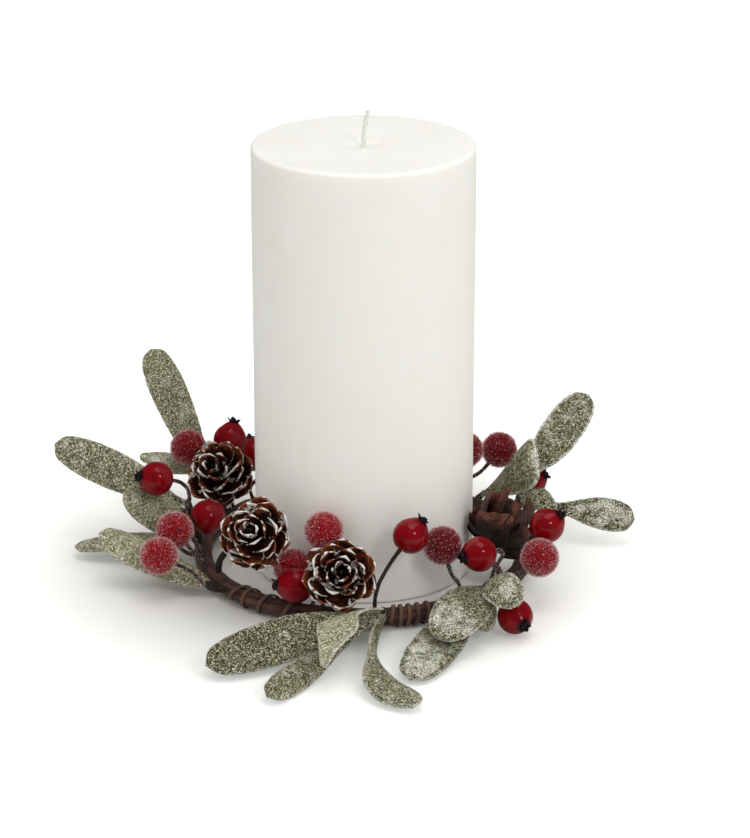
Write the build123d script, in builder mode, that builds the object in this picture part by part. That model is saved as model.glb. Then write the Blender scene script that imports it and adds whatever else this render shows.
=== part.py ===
from build123d import *
from collections import namedtuple
import math
import os

# Candle ring: a wrapped wire hoop that lies on a table around a pillar candle and carries sprays of
# mistletoe leaves, berries and cones. Millimetres, +Z up, origin on the table at the candle's axis.

# Pillar candle
candle_diameter = 75.0
candle_height = 150.0
candle_edge_radius = 1.2
wick_diameter = 2.2
wick_stand = 11.5
wick_lean = 1.8
wick_straight = 3.0
wick_bore_floor = 4.0
wick_clearance = 0.05

# Hoop: a steel wire inside a paper wrap, bound with twine
ring_gap = 15.3
wrap_diameter = 6.4
hoop_wire_diameter = 2.6
hoop_clearance = 0.05
twine_diameter = 1.1
twine_clearance = 0.05
twine_flat = 0.5
twine_tail = 1.1

# Wires and twigs that are rooted in the wrap
berry_wire_diameter = 1.0
cone_wire_diameter = 1.6
twig_diameter = 2.6
root_clearance = 0.05
root_straight = 1.5

# Berries
frosted_diameter = 14.0
glossy_diameter = 12.0
berry_socket_depth = 3.0
socket_clearance = 0.05
wire_end_straight = 1.0
cone_wire_straight = 3.0
crown_peg_diameter = 1.6
crown_peg_length = 1.5
crown_height = 2.6
crown_foot_diameter = 2.6
crown_mouth_diameter = 4.8
crown_wall = 0.6
crown_points = 5
crown_notch_width = 1.5
crown_notch_depth = 1.7

# Cones
cone_diameter = 26.0
cone_length = 22.0
cone_core_diameter = 10.0
cone_whorls = 6
cone_scale_thickness = 1.5
cone_scale_slope = 32.0
cone_first_whorl = 3.4
cone_bud_reach = 3.4
cone_waist = 8.0
cone_oval_stop = 1.2
cone_scales_large = 8
cone_scales_small = 5
cone_whorl_turn = 22.5
cone_socket_depth = 4.0
cone_bud_diameter = 5.0

# Leaves
leaf_thickness = 1.1
leaf_edge = 0.5
leaf_stalk_width = 2.2
leaf_clearance = 0.05

# Sizes that follow
candle_radius = candle_diameter / 2
wrap_radius = wrap_diameter / 2
hoop_radius = hoop_wire_diameter / 2
twine_radius = twine_diameter / 2
twig_radius = twig_diameter / 2
ring_radius = candle_radius + ring_gap + wrap_radius
bind_radius = wrap_radius + twine_clearance + twine_radius
ring_height = bind_radius + twine_radius - twine_flat
ring_top = ring_height + wrap_radius
root_start = hoop_radius + root_clearance
root_exit = wrap_radius + root_straight
cone_radius = cone_diameter / 2
core_radius = cone_core_diameter / 2
cone_last_whorl = cone_length - cone_bud_reach
cone_oval = cone_length - cone_oval_stop - cone_waist

# Stations: the angle around the hoop, in degrees, from which each spray is laid out
left_back = 150.0
left = 190.0
front_left = 225.0
front = 262.0
front_right = 308.0
right = 335.0
right_back = 20.0
back_right = 44.0
back = 90.0

# Each berry and cone is placed from a station, in millimetres along the hoop, out from its centreline and
# above its top. Its wire is rooted along the hoop and leans there: 0 points out, 90 up and 180 in.
# It points to a heading from the station and a rise. A berry with no heading points away from its root.
Berry = namedtuple("Berry", "name station along out above root lean heading rise")
Cone = namedtuple("Cone", "name station along out above root lean heading rise")
frosted_berries = [
    Berry("frosted_berry_left_front", left, 20, 17.5, 8.5, 27, 12, None, 0),
    Berry("frosted_berry_left_low", left, 5, 10.5, 11, 11, 60, None, 0),
    Berry("frosted_berry_left_back", left_back, 3, 14.5, 22, 9, 70, None, 0),
    Berry("frosted_berry_front_high", front, -7, -11, 22.5, -10.5, 150, 0, 80),
    Berry("frosted_berry_front_low", front, -18, -14, 7, -17.5, 150, None, 0),
    Berry("frosted_berry_front_right", front_right, -2.6, -9.8, 14.8, -3, 85, None, 0),
    Berry("frosted_berry_right", right, -11, 14, 11, -12, 45, None, 0),
    Berry("frosted_berry_right_back", back_right, 0.3, 12, 15.4, 8.5, 60, None, 0),
    Berry("frosted_berry_right_inner", back_right, -1, -7, 21, 11.5, 95, None, 0),
    Berry("frosted_berry_back", back, -20, 2, 15, -14, 80, None, 0),
]
glossy_berries = [
    Berry("glossy_berry_left", left, -8.5, 15, 25, -2.5, 20, 13, 15),
    Berry("glossy_berry_left_inner", left, -5, -2, 11, 1, 70, -158, 12),
    Berry("glossy_berry_left_high", left_back, -6.5, 3, 24, -4, 75, -85, 60),
    Berry("glossy_berry_left_back", left_back, -22, 3, 13, -15, 60, -40, 40),
    Berry("glossy_berry_front_low", front, -15, -1, 6.5, -5.5, 75, -76, 5),
    Berry("glossy_berry_front_high", front, 22, -11, 22.3, 11.5, 85, 118, 50),
    Berry("glossy_berry_front_right", front_right, 3.5, 2, 14, 10.5, 80, -98, 2),
    Berry("glossy_berry_right_low", front_right, 1.5, 23, -0.5, 4.7, 8, -12, -8),
    Berry("glossy_berry_right", right, 0, 12, 18, -1.5, 35, 16, 43),
    Berry("glossy_berry_right_back", right_back, 11.5, 11, 8.5, 9, 70, -29, 29),
    Berry("glossy_berry_back", back, 19, 6, 11, 14, 60, 5, 50),
]
cones = [
    Cone("cone_left", left_back, 13, -4, 20, 0.5, 90, 104, 43),
    Cone("cone_front_left", front_left, 6, 1.5, 22.5, -17, 95, 35, 33),
    Cone("cone_front", front, 1.3, 6.5, 15.5, 1, 130, 11, 30),
    Cone("cone_right", right, 6.5, -5.5, 14, -7.5, 110, 83, 38),
    Cone("cone_back", back, 0, 4, 19, 0, 95, -8, 45),
]

# Twigs: station, root along the hoop, heading from the root, rise, and length from the hoop's centre
Twig = namedtuple("Twig", "station root heading rise length")
twigs = {
    "left_low": Twig(left, 23.0, -44, 2, 8.0),
    "left_high": Twig(left, -8.0, -55, 60, 18.0),
    "left_back": Twig(left_back, 6.0, -40, 45, 24.0),
    "front": Twig(front, 16.0, -20, 35, 10.4),
    "front_right": Twig(front_right, 1.0, 0, 45, 15.0),
    "right_back": Twig(right_back, 2.0, 20, 68, 16.0),
    "back_right": Twig(back_right, 3.0, -20, 30, 6.5),
    "back": Twig(back, 8.0, 0, 35, 13.0),
}

# Outlines of the leaves: place along the midrib, and how much of the full width is gained there
spoon = [
    (0.0, 0.0),
    (0.1, 0.04),
    (0.21, 0.32),
    (0.33, 0.7),
    (0.47, 0.94),
    (0.63, 1.0),
    (0.79, 0.92),
    (0.89, 0.74),
    (0.96, 0.45),
    (1.0, 0.02),
]
broad = [
    (0.0, 0.0),
    (0.07, 0.3),
    (0.16, 0.58),
    (0.3, 0.78),
    (0.48, 0.94),
    (0.66, 1.0),
    (0.81, 0.92),
    (0.91, 0.72),
    (0.97, 0.42),
    (1.0, 0.02),
]
oval = [
    (0.0, 0.0),
    (0.07, 0.3),
    (0.18, 0.68),
    (0.33, 0.92),
    (0.5, 1.0),
    (0.68, 0.95),
    (0.82, 0.78),
    (0.92, 0.52),
    (0.97, 0.3),
    (1.0, 0.02),
]
pointed = [
    (0.0, 0.0),
    (0.1, 0.1),
    (0.22, 0.42),
    (0.35, 0.78),
    (0.5, 1.0),
    (0.64, 0.94),
    (0.78, 0.68),
    (0.89, 0.36),
    (0.96, 0.14),
    (1.0, 0.0),
]
late = [
    (0.0, 0.0),
    (0.12, 0.02),
    (0.27, 0.05),
    (0.41, 0.12),
    (0.53, 0.42),
    (0.65, 0.8),
    (0.78, 1.0),
    (0.89, 0.86),
    (0.96, 0.52),
    (1.0, 0.02),
]

# Leaves: a chord from a place along a twig, given as a length, a heading from the twig's root and a rise.
# The midrib bows from the chord, and the blade has a width, a cup as a share of its half width,
# and a roll about the chord at its foot and at its tip.
Leaf = namedtuple("Leaf", "name twig place length heading rise width bow cup roll_foot roll_tip outline")
leaves = [
    Leaf("leaf_left_back_tall", "left_back", 23.0, 46, -20, 56, 13.0, -2.0, 0.12, 42, 42, broad),
    Leaf("leaf_left_back_small", "left_back", 20.5, 23.5, 18, 13, 8.0, 0.5, 0.12, 40, 40, pointed),
    Leaf("leaf_left_long", "left_high", 17.0, 52, -17, 20, 13.5, 2.0, 0.12, 60, 60, spoon),
    Leaf("leaf_left_round", "left_high", 6.8, 31, 13, 35, 14.0, -1.0, 0.12, 55, 55, oval),
    Leaf("leaf_left_flat", "left_high", 4.6, 44, -6, -6, 12.0, 1.0, 0.12, 5, 5, spoon),
    Leaf("leaf_left_front", "left_low", 5.4, 42, -49, 20, 12.5, -1.5, 0.12, 25, 25, broad),
    Leaf("leaf_front_broad", "front", 6.5, 67, -67, -2, 16.0, 2.0, -0.1, 36, 36, spoon),
    Leaf("leaf_front_slim", "front", 8.3, 64, -43.5, -4.6, 11.5, -2.0, 0.22, 30, 30, spoon),
    Leaf("leaf_front_folded", "front", 10.0, 47, -31, 2.5, 12.5, 6.5, 0.2, -40, 25, pointed),
    Leaf("leaf_front_twisted", "front", 4.6, 62, -1, -3.5, 13.0, -8.5, 0.12, 88, -12, late),
    Leaf("leaf_right_front_long", "front_right", 6.5, 58, -63, -6, 15.5, -0.5, 0.12, 14, 14, spoon),
    Leaf("leaf_right_front_broad", "front_right", 10.6, 38, -63, -4, 17.5, 2.0, 0.12, 15, 15, oval),
    Leaf("leaf_right_front_small", "front_right", 8.8, 21, -36, -15, 8.2, 1.0, 0.12, -5, -5, oval),
    Leaf("leaf_right_front_curled", "front_right", 15.0, 20, -13, 0, 12.5, 3.0, 0.25, -32, -32, oval),
    Leaf("leaf_right_back_folded", "back_right", 5.5, 41, -102, 39, 14.0, -1.0, 0.3, -50, -75, spoon),
    Leaf("leaf_right_back_tall", "right_back", 15.5, 40, -14, 55, 14.0, 2.0, -0.2, -60, -60, spoon),
    Leaf("leaf_right_back_long", "right_back", 8.0, 42, -34, -3, 12.0, 3.0, 0.15, -50, -50, spoon),
    Leaf("leaf_right_back_small", "right_back", 12.0, 22, -80, 5, 9.0, 2.0, 0.3, -40, -40, pointed),
    Leaf("leaf_back_long", "back", 11.5, 48, 18, 6, 14.0, 3.0, 0.12, 15, 15, spoon),
    Leaf("leaf_back_short", "back", 7.5, 46, -22, 4, 13.0, 3.0, 0.12, 10, 10, spoon),
]

# Bindings: angle of the middle of each, loops, and the step from loop to loop
Binding = namedtuple("Binding", "name middle loops step")
front_left_binding = 231.0
front_right_binding = 291.0
back_right_binding = 66.0
back_left_binding = 113.0
bindings = [
    Binding("twine_front_left", front_left_binding, 4, 5.2),
    Binding("twine_front_right", front_right_binding, 5, 3.0),
    Binding("twine_back_right", back_right_binding, 4, 4.0),
    Binding("twine_back_left", back_left_binding, 4, 4.0),
]


def heading_vector(heading, rise):
    """Unit vector at a heading in the plan and a rise above it, both in degrees."""
    flat = math.cos(math.radians(rise))
    turn = math.radians(heading)
    return Vector(flat * math.cos(turn), flat * math.sin(turn), math.sin(math.radians(rise)))


def station_point(station, along, out, above):
    """Point given along, out from and above the hoop at a station."""
    return Vector(ring_radius + out, along, ring_top + above).rotate(Axis.Z, station)


def root_angle(station, along):
    """Angle around the hoop of a root that lies along the hoop from its station."""
    return station + math.degrees(along / ring_radius)


def hoop_point(angle):
    """Point on the centreline of the hoop."""
    return Vector(ring_radius, 0, ring_height).rotate(Axis.Z, angle)


def lean_vector(angle, lean):
    """Unit vector square to the hoop at an angle: 0 points out, 90 up and 180 in."""
    outward = heading_vector(angle, 0) * math.cos(math.radians(lean))
    return outward + Vector(0, 0, math.sin(math.radians(lean)))


def lay_biarc(start, start_way, end, end_way):
    """Lay two arcs, tangent to each other and to both given ways."""
    span = end - start
    both = start_way + end_way
    bend = 2 * (1 - start_way.dot(end_way))
    toward = span.dot(both)
    reach = (math.sqrt(toward**2 + bend * span.dot(span)) - toward) / bend
    first = start + start_way * reach
    last = end - end_way * reach
    middle = (first + last) * 0.5
    TangentArc(start, middle, tangent=start_way)
    TangentArc(middle, end, tangent=last - first)


def middle_point(piece):
    """Middle of a berry or a cone."""
    return station_point(piece.station, piece.along, piece.out, piece.above)


def berry_axis(berry):
    """The way a berry points, from its wire to its crown."""
    if berry.heading is None:
        return (middle_point(berry) - hoop_point(root_angle(berry.station, berry.root))).normalized()
    return heading_vector(berry.station + berry.heading, berry.rise)


def berry_place(berry):
    """Location of a berry, with its local Z the way it points."""
    return Plane(origin=middle_point(berry), z_dir=berry_axis(berry)).location


def cone_axis(cone):
    """The way the tip of a cone points."""
    return heading_vector(cone.station + cone.heading, cone.rise)


def cone_place(cone):
    """Location of a cone's foot, with its local Z the way the tip points."""
    foot = middle_point(cone) - cone_axis(cone) * (cone_length / 2)
    return Plane(origin=foot, z_dir=cone_axis(cone)).location


def root_place(piece):
    """Location on the hoop's centreline where a wire is rooted, with its local Z along the wire."""
    angle = root_angle(piece.station, piece.root)
    return Plane(origin=hoop_point(angle), z_dir=lean_vector(angle, piece.lean)).location


def twig_start(twig):
    """Point on the hoop's centreline where a twig is rooted."""
    return hoop_point(root_angle(twig.station, twig.root))


def twig_way(twig):
    """The way a twig points."""
    return heading_vector(root_angle(twig.station, twig.root) + twig.heading, twig.rise)


def twig_place(twig):
    """Location on the hoop's centreline where a twig is rooted, with its local Z along the twig."""
    return Plane(origin=twig_start(twig), z_dir=twig_way(twig)).location


def twig_foot(twig):
    """Distance along a twig from the hoop's centre at which it clears the hoop's wire."""
    slant = abs(math.cos(math.radians(twig.rise)) * math.sin(math.radians(twig.heading)))
    return (hoop_radius + root_clearance + twig_radius * slant) / math.sqrt(1 - slant**2)


def twine_point(middle, loops, step, turn):
    """Point on a binding after some turns around the wrap, starting underneath on the outside."""
    angle = math.radians(middle) + (turn - loops / 2) * step / ring_radius
    around = 2 * math.pi * turn
    reach = ring_radius + bind_radius * math.cos(around)
    height = ring_height + bind_radius * math.sin(around)
    return Vector(reach * math.cos(angle), reach * math.sin(angle), height)


def twine_way(middle, loops, step, turn):
    """Unit tangent of a binding."""
    small = 1e-4
    ahead = twine_point(middle, loops, step, turn + small)
    return (ahead - twine_point(middle, loops, step, turn - small)).normalized()


os.makedirs("parts", exist_ok=True)

# The pillar candle, with rounded edges and a blind bore for the wick
with BuildPart() as pillar_candle:
    Cylinder(candle_radius, candle_height, align=(Align.CENTER, Align.CENTER, Align.MIN))
    fillet(pillar_candle.edges().filter_by(GeomType.CIRCLE), candle_edge_radius)
    with BuildSketch(Plane.XY.offset(wick_bore_floor)):
        Circle(wick_diameter / 2 + wick_clearance)
    extrude(amount=candle_height, mode=Mode.SUBTRACT)
pillar_candle.part.label = "pillar_candle"
export_step(pillar_candle.part, "parts/pillar_candle.step")

# The wick stands straight in the wax and leans a little above it
with BuildPart() as candle_wick:
    wick_foot = Vector(0, 0, wick_bore_floor + wick_clearance)
    wick_bend = Vector(0, 0, candle_height + wick_straight)
    with BuildLine() as wick_path:
        Line(wick_foot, wick_bend)
        TangentArc(wick_bend, (wick_lean, 0, candle_height + wick_stand), tangent=(0, 0, 1))
    with BuildSketch(Plane.XY.offset(wick_foot.Z)):
        Circle(wick_diameter / 2)
    sweep(path=wick_path.wire())
candle_wick.part.label = "candle_wick"
export_step(candle_wick.part, "parts/candle_wick.step")

# The steel wire inside the hoop
with BuildPart() as hoop_wire:
    with Locations((0, 0, ring_height)):
        Torus(ring_radius, hoop_radius)
hoop_wire.part.label = "hoop_wire"
export_step(hoop_wire.part, "parts/hoop_wire.step")

# The paper wrap, in two lengths that meet under two of the bindings, with a hole for each root
berry_roots = [root_place(berry) for berry in frosted_berries + glossy_berries]
cone_roots = [root_place(cone) for cone in cones]
twig_roots = [twig_place(twig) for twig in twigs.values()]
berry_root_radius = berry_wire_diameter / 2 + root_clearance
cone_root_radius = cone_wire_diameter / 2 + root_clearance
twig_root_radius = twig_radius + root_clearance
root_align = (Align.CENTER, Align.CENTER, Align.MIN)
root_cut = wrap_diameter + wrap_radius
wraps = [
    ("paper_wrap_left", back_right_binding, front_left_binding - back_right_binding),
    ("paper_wrap_right", front_left_binding, back_right_binding + 360 - front_left_binding),
]
for name, start, arc in wraps:
    outward = heading_vector(start, 0)
    backward = heading_vector(start - 90, 0)
    with BuildPart() as paper_wrap:
        with BuildSketch(Plane(origin=(0, 0, 0), x_dir=outward, z_dir=backward)):
            with Locations((ring_radius, ring_height)):
                Circle(wrap_radius)
                Circle(hoop_radius + hoop_clearance, mode=Mode.SUBTRACT)
        revolve(axis=Axis.Z, revolution_arc=arc)
        with Locations(*berry_roots):
            Cylinder(berry_root_radius, root_cut, align=root_align, mode=Mode.SUBTRACT)
        with Locations(*cone_roots):
            Cylinder(cone_root_radius, root_cut, align=root_align, mode=Mode.SUBTRACT)
        with Locations(*twig_roots):
            Cylinder(twig_root_radius, root_cut, align=root_align, mode=Mode.SUBTRACT)
    print(name, "volume", round(paper_wrap.part.volume, 1), "valid", paper_wrap.part.is_valid)
    paper_wrap.part.label = name
    export_step(paper_wrap.part, f"parts/{name}.step")

# Twine bindings: each is one unbroken tube wound around the wrap, cut flat where the ring stands on it
for name, middle, loops, step in bindings:
    quarter_turns = [0.25 * count for count in range(4 * loops + 1)]
    start = twine_point(middle, loops, step, 0)
    start_way = twine_way(middle, loops, step, 0)
    end = twine_point(middle, loops, step, loops)
    end_way = twine_way(middle, loops, step, loops)
    with BuildPart() as binding:
        with BuildLine() as twine_path:
            Line(start - start_way * twine_tail, start)
            for turn in quarter_turns[:-1]:
                lay_biarc(
                    twine_point(middle, loops, step, turn),
                    twine_way(middle, loops, step, turn),
                    twine_point(middle, loops, step, turn + 0.25),
                    twine_way(middle, loops, step, turn + 0.25),
                )
            Line(end, end + end_way * twine_tail)
        with BuildSketch(Plane(origin=start - start_way * twine_tail, z_dir=start_way)):
            Circle(twine_radius)
        sweep(path=twine_path.wire())
        split(bisect_by=Plane.XY, keep=Keep.TOP)
    binding.part.label = name
    export_step(binding.part, f"parts/{name}.step")
    fine = [twine_point(middle, loops, step, 0.02 * count) for count in range(50 * loops + 1)]
    least = min((fine[a] - fine[b]).length for a in range(len(fine)) for b in range(a + 25, len(fine)))
    print(name, "least gap to itself", round(least - twine_diameter, 2))

# Wires that carry the berries: straight out of the wrap, two easy bends, straight into the berry
with BuildPart() as berry_wires:
    for berry in frosted_berries + glossy_berries:
        radius = frosted_diameter / 2 if berry in frosted_berries else glossy_diameter / 2
        angle = root_angle(berry.station, berry.root)
        way = lean_vector(angle, berry.lean)
        axis = berry_axis(berry)
        middle = middle_point(berry)
        foot = hoop_point(angle) + way * root_start
        bend = hoop_point(angle) + way * root_exit
        neck = middle - axis * (radius + wire_end_straight)
        tip = middle - axis * (radius - berry_socket_depth + socket_clearance)
        with BuildLine() as wire_path:
            Line(foot, bend)
            lay_biarc(bend, way, neck, axis)
            Line(neck, tip)
        with BuildSketch(Plane(origin=foot, z_dir=way)):
            Circle(berry_wire_diameter / 2)
        sweep(path=wire_path.wire())
berry_wires.part.label = "berry_wires"
export_step(berry_wires.part, "parts/berry_wires.step")

# Thicker wires that carry the cones
with BuildPart() as cone_wires:
    for cone in cones:
        angle = root_angle(cone.station, cone.root)
        way = lean_vector(angle, cone.lean)
        axis = cone_axis(cone)
        seat = cone_place(cone).position
        foot = hoop_point(angle) + way * root_start
        bend = hoop_point(angle) + way * root_exit
        neck = seat - axis * cone_wire_straight
        tip = seat + axis * (cone_socket_depth - socket_clearance)
        with BuildLine() as wire_path:
            Line(foot, bend)
            lay_biarc(bend, way, neck, axis)
            Line(neck, tip)
        with BuildSketch(Plane(origin=foot, z_dir=way)):
            Circle(cone_wire_diameter / 2)
        sweep(path=wire_path.wire())
cone_wires.part.label = "cone_wires"
export_step(cone_wires.part, "parts/cone_wires.step")

# Twigs that carry the leaves, with rounded ends
with BuildPart() as mistletoe_twigs:
    for twig in twigs.values():
        foot = twig_start(twig) + twig_way(twig) * twig_foot(twig)
        end = twig_start(twig) + twig_way(twig) * twig.length
        with Locations(Plane(origin=foot, z_dir=twig_way(twig)).location):
            Cylinder(twig_radius, twig.length - twig_foot(twig), align=root_align)
        with Locations(end):
            Sphere(twig_radius)
mistletoe_twigs.part.label = "mistletoe_twigs"
export_step(mistletoe_twigs.part, "parts/mistletoe_twigs.step")

# Frosted berries: balls with a socket for the wire
with BuildPart() as frosted_form:
    Sphere(frosted_diameter / 2)
    with BuildSketch(Plane.XY.offset(-frosted_diameter / 2 + berry_socket_depth)):
        Circle(berry_wire_diameter / 2 + socket_clearance)
    extrude(amount=-frosted_diameter, mode=Mode.SUBTRACT)
for berry in frosted_berries:
    with BuildPart() as frosted_berry:
        with Locations(berry_place(berry)):
            add(frosted_form.part)
    frosted_berry.part.label = berry.name
    export_step(frosted_berry.part, f"parts/{berry.name}.step")

# Glossy berries: a socket for the wire, and a hole for the peg of the crown at the other pole
with BuildPart() as glossy_form:
    Sphere(glossy_diameter / 2)
    with BuildSketch(Plane.XY.offset(-glossy_diameter / 2 + berry_socket_depth)):
        Circle(berry_wire_diameter / 2 + socket_clearance)
    extrude(amount=-glossy_diameter, mode=Mode.SUBTRACT)
    with BuildSketch(Plane.XY.offset(glossy_diameter / 2 - crown_peg_length - socket_clearance)):
        Circle(crown_peg_diameter / 2 + socket_clearance)
    extrude(amount=glossy_diameter, mode=Mode.SUBTRACT)
for berry in glossy_berries:
    with BuildPart() as glossy_berry:
        with Locations(berry_place(berry)):
            add(glossy_form.part)
    glossy_berry.part.label = berry.name
    export_step(glossy_berry.part, f"parts/{berry.name}.step")

# Crowns of the glossy berries: a flared cup with points, on a peg
crown_foot = glossy_diameter / 2 + socket_clearance
with BuildPart() as crown_form:
    with BuildSketch(Plane.XZ):
        with BuildLine():
            Polyline(
                (0, crown_foot - crown_peg_length),
                (crown_peg_diameter / 2, crown_foot - crown_peg_length),
                (crown_peg_diameter / 2, crown_foot),
                (crown_foot_diameter / 2, crown_foot),
                (crown_mouth_diameter / 2, crown_foot + crown_height),
                (crown_mouth_diameter / 2 - crown_wall, crown_foot + crown_height),
                (crown_foot_diameter / 2 - crown_wall, crown_foot + crown_wall),
                (0, crown_foot + crown_wall),
                close=True,
            )
        make_face()
    revolve(axis=Axis.Z)
    with BuildSketch(Plane.XY.offset(crown_foot + crown_height)):
        with PolarLocations(crown_mouth_diameter / 2, crown_points):
            RegularPolygon(crown_notch_width, 4, rotation=0)
    extrude(amount=-crown_notch_depth, mode=Mode.SUBTRACT)
crown_places = [berry_place(berry) for berry in glossy_berries]
with BuildPart() as berry_crowns:
    with Locations(*crown_places):
        add(crown_form.part)
berry_crowns.part.label = "berry_crowns"
export_step(berry_crowns.part, "parts/berry_crowns.step")

# Cones: whorls of cupped scales around a core. The whorls swell and taper along an oval.
whorl_step = (cone_last_whorl - cone_first_whorl) / (cone_whorls - 1)
slope = math.tan(math.radians(cone_scale_slope))
large_whorl = 0.7
lobe_place = 0.64
lobe_overlap = 1.12
lobe_root = 0.5
whorls = []
for count in range(cone_whorls):
    height = cone_first_whorl + count * whorl_step
    reach = cone_radius * math.sqrt(1 - ((height - cone_waist) / cone_oval) ** 2)
    root_reach = min(core_radius, reach) / 2
    lobes = cone_scales_large if reach > large_whorl * cone_radius else cone_scales_small
    lobe_middle = lobe_place * reach
    lobe_half = lobe_overlap * lobe_middle * math.sin(math.pi / lobes)
    with BuildPart() as whorl:
        with BuildSketch(Plane.XZ):
            with BuildLine():
                Polyline(
                    (root_reach, height - slope * (reach - root_reach)),
                    (reach, height),
                    (reach, height + cone_scale_thickness),
                    (root_reach, height + cone_scale_thickness - slope * (reach - root_reach)),
                    close=True,
                )
            make_face()
        revolve(axis=Axis.Z)
        with BuildSketch(Plane.XY.offset(-cone_length)):
            Circle(lobe_root * reach)
            with PolarLocations(lobe_middle, lobes, start_angle=cone_whorl_turn * count):
                Ellipse(reach - lobe_middle, lobe_half)
        extrude(amount=3 * cone_length, mode=Mode.INTERSECT)
    whorls.append(whorl.part)
with BuildPart() as cone_form:
    Cylinder(core_radius, cone_last_whorl, align=root_align)
    with Locations((0, 0, cone_length - cone_bud_diameter / 2)):
        Sphere(cone_bud_diameter / 2)
    for form in whorls:
        add(form)
    with BuildSketch(Plane.XY.offset(cone_socket_depth)):
        Circle(cone_wire_diameter / 2 + socket_clearance)
    extrude(amount=-2 * cone_length, mode=Mode.SUBTRACT)
    split(bisect_by=Plane.XY, keep=Keep.TOP)
for cone in cones:
    with BuildPart() as placed_cone:
        with Locations(cone_place(cone)):
            add(cone_form.part)
    placed_cone.part.label = cone.name
    export_step(placed_cone.part, f"parts/{cone.name}.step")

# Leaves: thin cupped blades on a bowed midrib, each joined to its twig by a narrow stalk
for leaf in leaves:
    twig = twigs[leaf.twig]
    foot = twig_start(twig) + twig_way(twig) * leaf.place
    chord = heading_vector(root_angle(twig.station, twig.root) + leaf.heading, leaf.rise)
    level = chord.cross(Vector(0, 0, 1)).normalized()
    upright = level.cross(chord)
    roll = math.radians(leaf.roll_foot)
    bow_way = (level * math.cos(roll) + upright * math.sin(roll)).cross(chord)
    with BuildPart() as blade:
        for share, gain in leaf.outline:
            roll = math.radians(leaf.roll_foot + (leaf.roll_tip - leaf.roll_foot) * share)
            across = level * math.cos(roll) + upright * math.sin(roll)
            spot = foot + chord * (leaf.length * share) + bow_way * (4 * leaf.bow * share * (1 - share))
            way = (chord * leaf.length + bow_way * (4 * leaf.bow * (1 - 2 * share))).normalized()
            half = (leaf_stalk_width + (leaf.width - leaf_stalk_width) * gain) / 2
            edge = leaf_edge / 2
            under = -leaf_thickness / 2 - leaf.cup * half
            over = leaf_thickness / 2 - leaf.cup * half
            with BuildSketch(Plane(origin=spot, x_dir=across, z_dir=way)):
                with BuildLine():
                    ThreePointArc((-half, -edge), (0, under), (half, -edge))
                    Line((half, -edge), (half, edge))
                    ThreePointArc((half, edge), (0, over), (-half, edge))
                    Line((-half, edge), (-half, -edge))
                make_face()
        loft()
        with Locations(twig_place(twig)):
            Cylinder(
                twig_radius + leaf_clearance,
                twig.length + twig_radius,
                align=root_align,
                mode=Mode.SUBTRACT,
            )
    blade.part.label = leaf.name
    export_step(blade.part, f"parts/{leaf.name}.step")
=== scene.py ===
import math
from collections import namedtuple

import bpy
import numpy as np
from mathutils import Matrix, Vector, noise


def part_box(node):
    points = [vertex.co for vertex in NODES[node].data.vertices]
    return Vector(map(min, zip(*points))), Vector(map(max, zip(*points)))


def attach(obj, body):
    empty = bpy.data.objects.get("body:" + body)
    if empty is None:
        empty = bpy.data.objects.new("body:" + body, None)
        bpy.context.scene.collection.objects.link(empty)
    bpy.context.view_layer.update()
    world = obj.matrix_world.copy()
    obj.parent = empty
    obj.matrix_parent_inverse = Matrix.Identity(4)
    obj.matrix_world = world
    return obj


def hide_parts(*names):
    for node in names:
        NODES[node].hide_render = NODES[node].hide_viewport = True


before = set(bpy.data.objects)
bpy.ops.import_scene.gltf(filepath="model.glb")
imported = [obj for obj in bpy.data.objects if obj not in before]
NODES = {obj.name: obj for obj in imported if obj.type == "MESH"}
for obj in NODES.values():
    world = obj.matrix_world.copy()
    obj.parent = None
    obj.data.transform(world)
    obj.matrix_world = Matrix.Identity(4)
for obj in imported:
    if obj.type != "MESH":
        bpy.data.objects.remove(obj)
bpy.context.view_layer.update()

# A candle ring: sprays of frosted mistletoe leaves, berries and cones on a wrapped hoop, around a candle.
# Metres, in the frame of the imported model: the origin is on the table at the candle's axis, and +Z is up.
MM = 0.001

# Camera, solved from the candle's edges and the hoop in the photograph
PHOTO_WIDTH, PHOTO_HEIGHT = 750, 838
FOCAL_PIXELS = 2957.9
CAMERA_PLACE = Vector((3.79 * MM, -946.0 * MM, 414.5 * MM))
CAMERA_PITCH = 20.94
SENSOR = 36.0

# Stage: the floor's colour; the distances from its middle over which it gains light for the camera, and how
# much; the light of the surroundings, and in reflections; where the lamps aim; and plain white
FLOOR_COLOUR = (0.7, 0.69, 0.665, 1.0)
FLOOR_MIDDLE = (-0.015, -0.005, 0.0)
FLOOR_DARK, FLOOR_NEAR, FLOOR_FAR = 0.055, 0.105, 0.3
NEAR_LIFT, FAR_LIFT = 0.42, 0.4
AMBIENT, REFLECTED = 0.77, 0.1
LAMP_AIM = (0.0, 0.0, 0.05)
WHITE = (1.0, 1.0, 1.0, 1.0)

# Hoop, read from its wire and its wrap
wire_low, wire_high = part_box("hoop_wire")
wrap_low, wrap_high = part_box("paper_wrap_right")
HOOP_HEIGHT = (wire_low.z + wire_high.z) / 2
WRAP_RADIUS = (wrap_high.z - wrap_low.z) / 2
HOOP_RADIUS = wire_high.x - (wire_high.z - wire_low.z) / 2

# Wraps: angles around the hoop between which each lies
WRAPS = {
    "paper_wrap_left": (66.0, 231.0),
    "paper_wrap_right": (231.0, 426.0),
}

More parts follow.
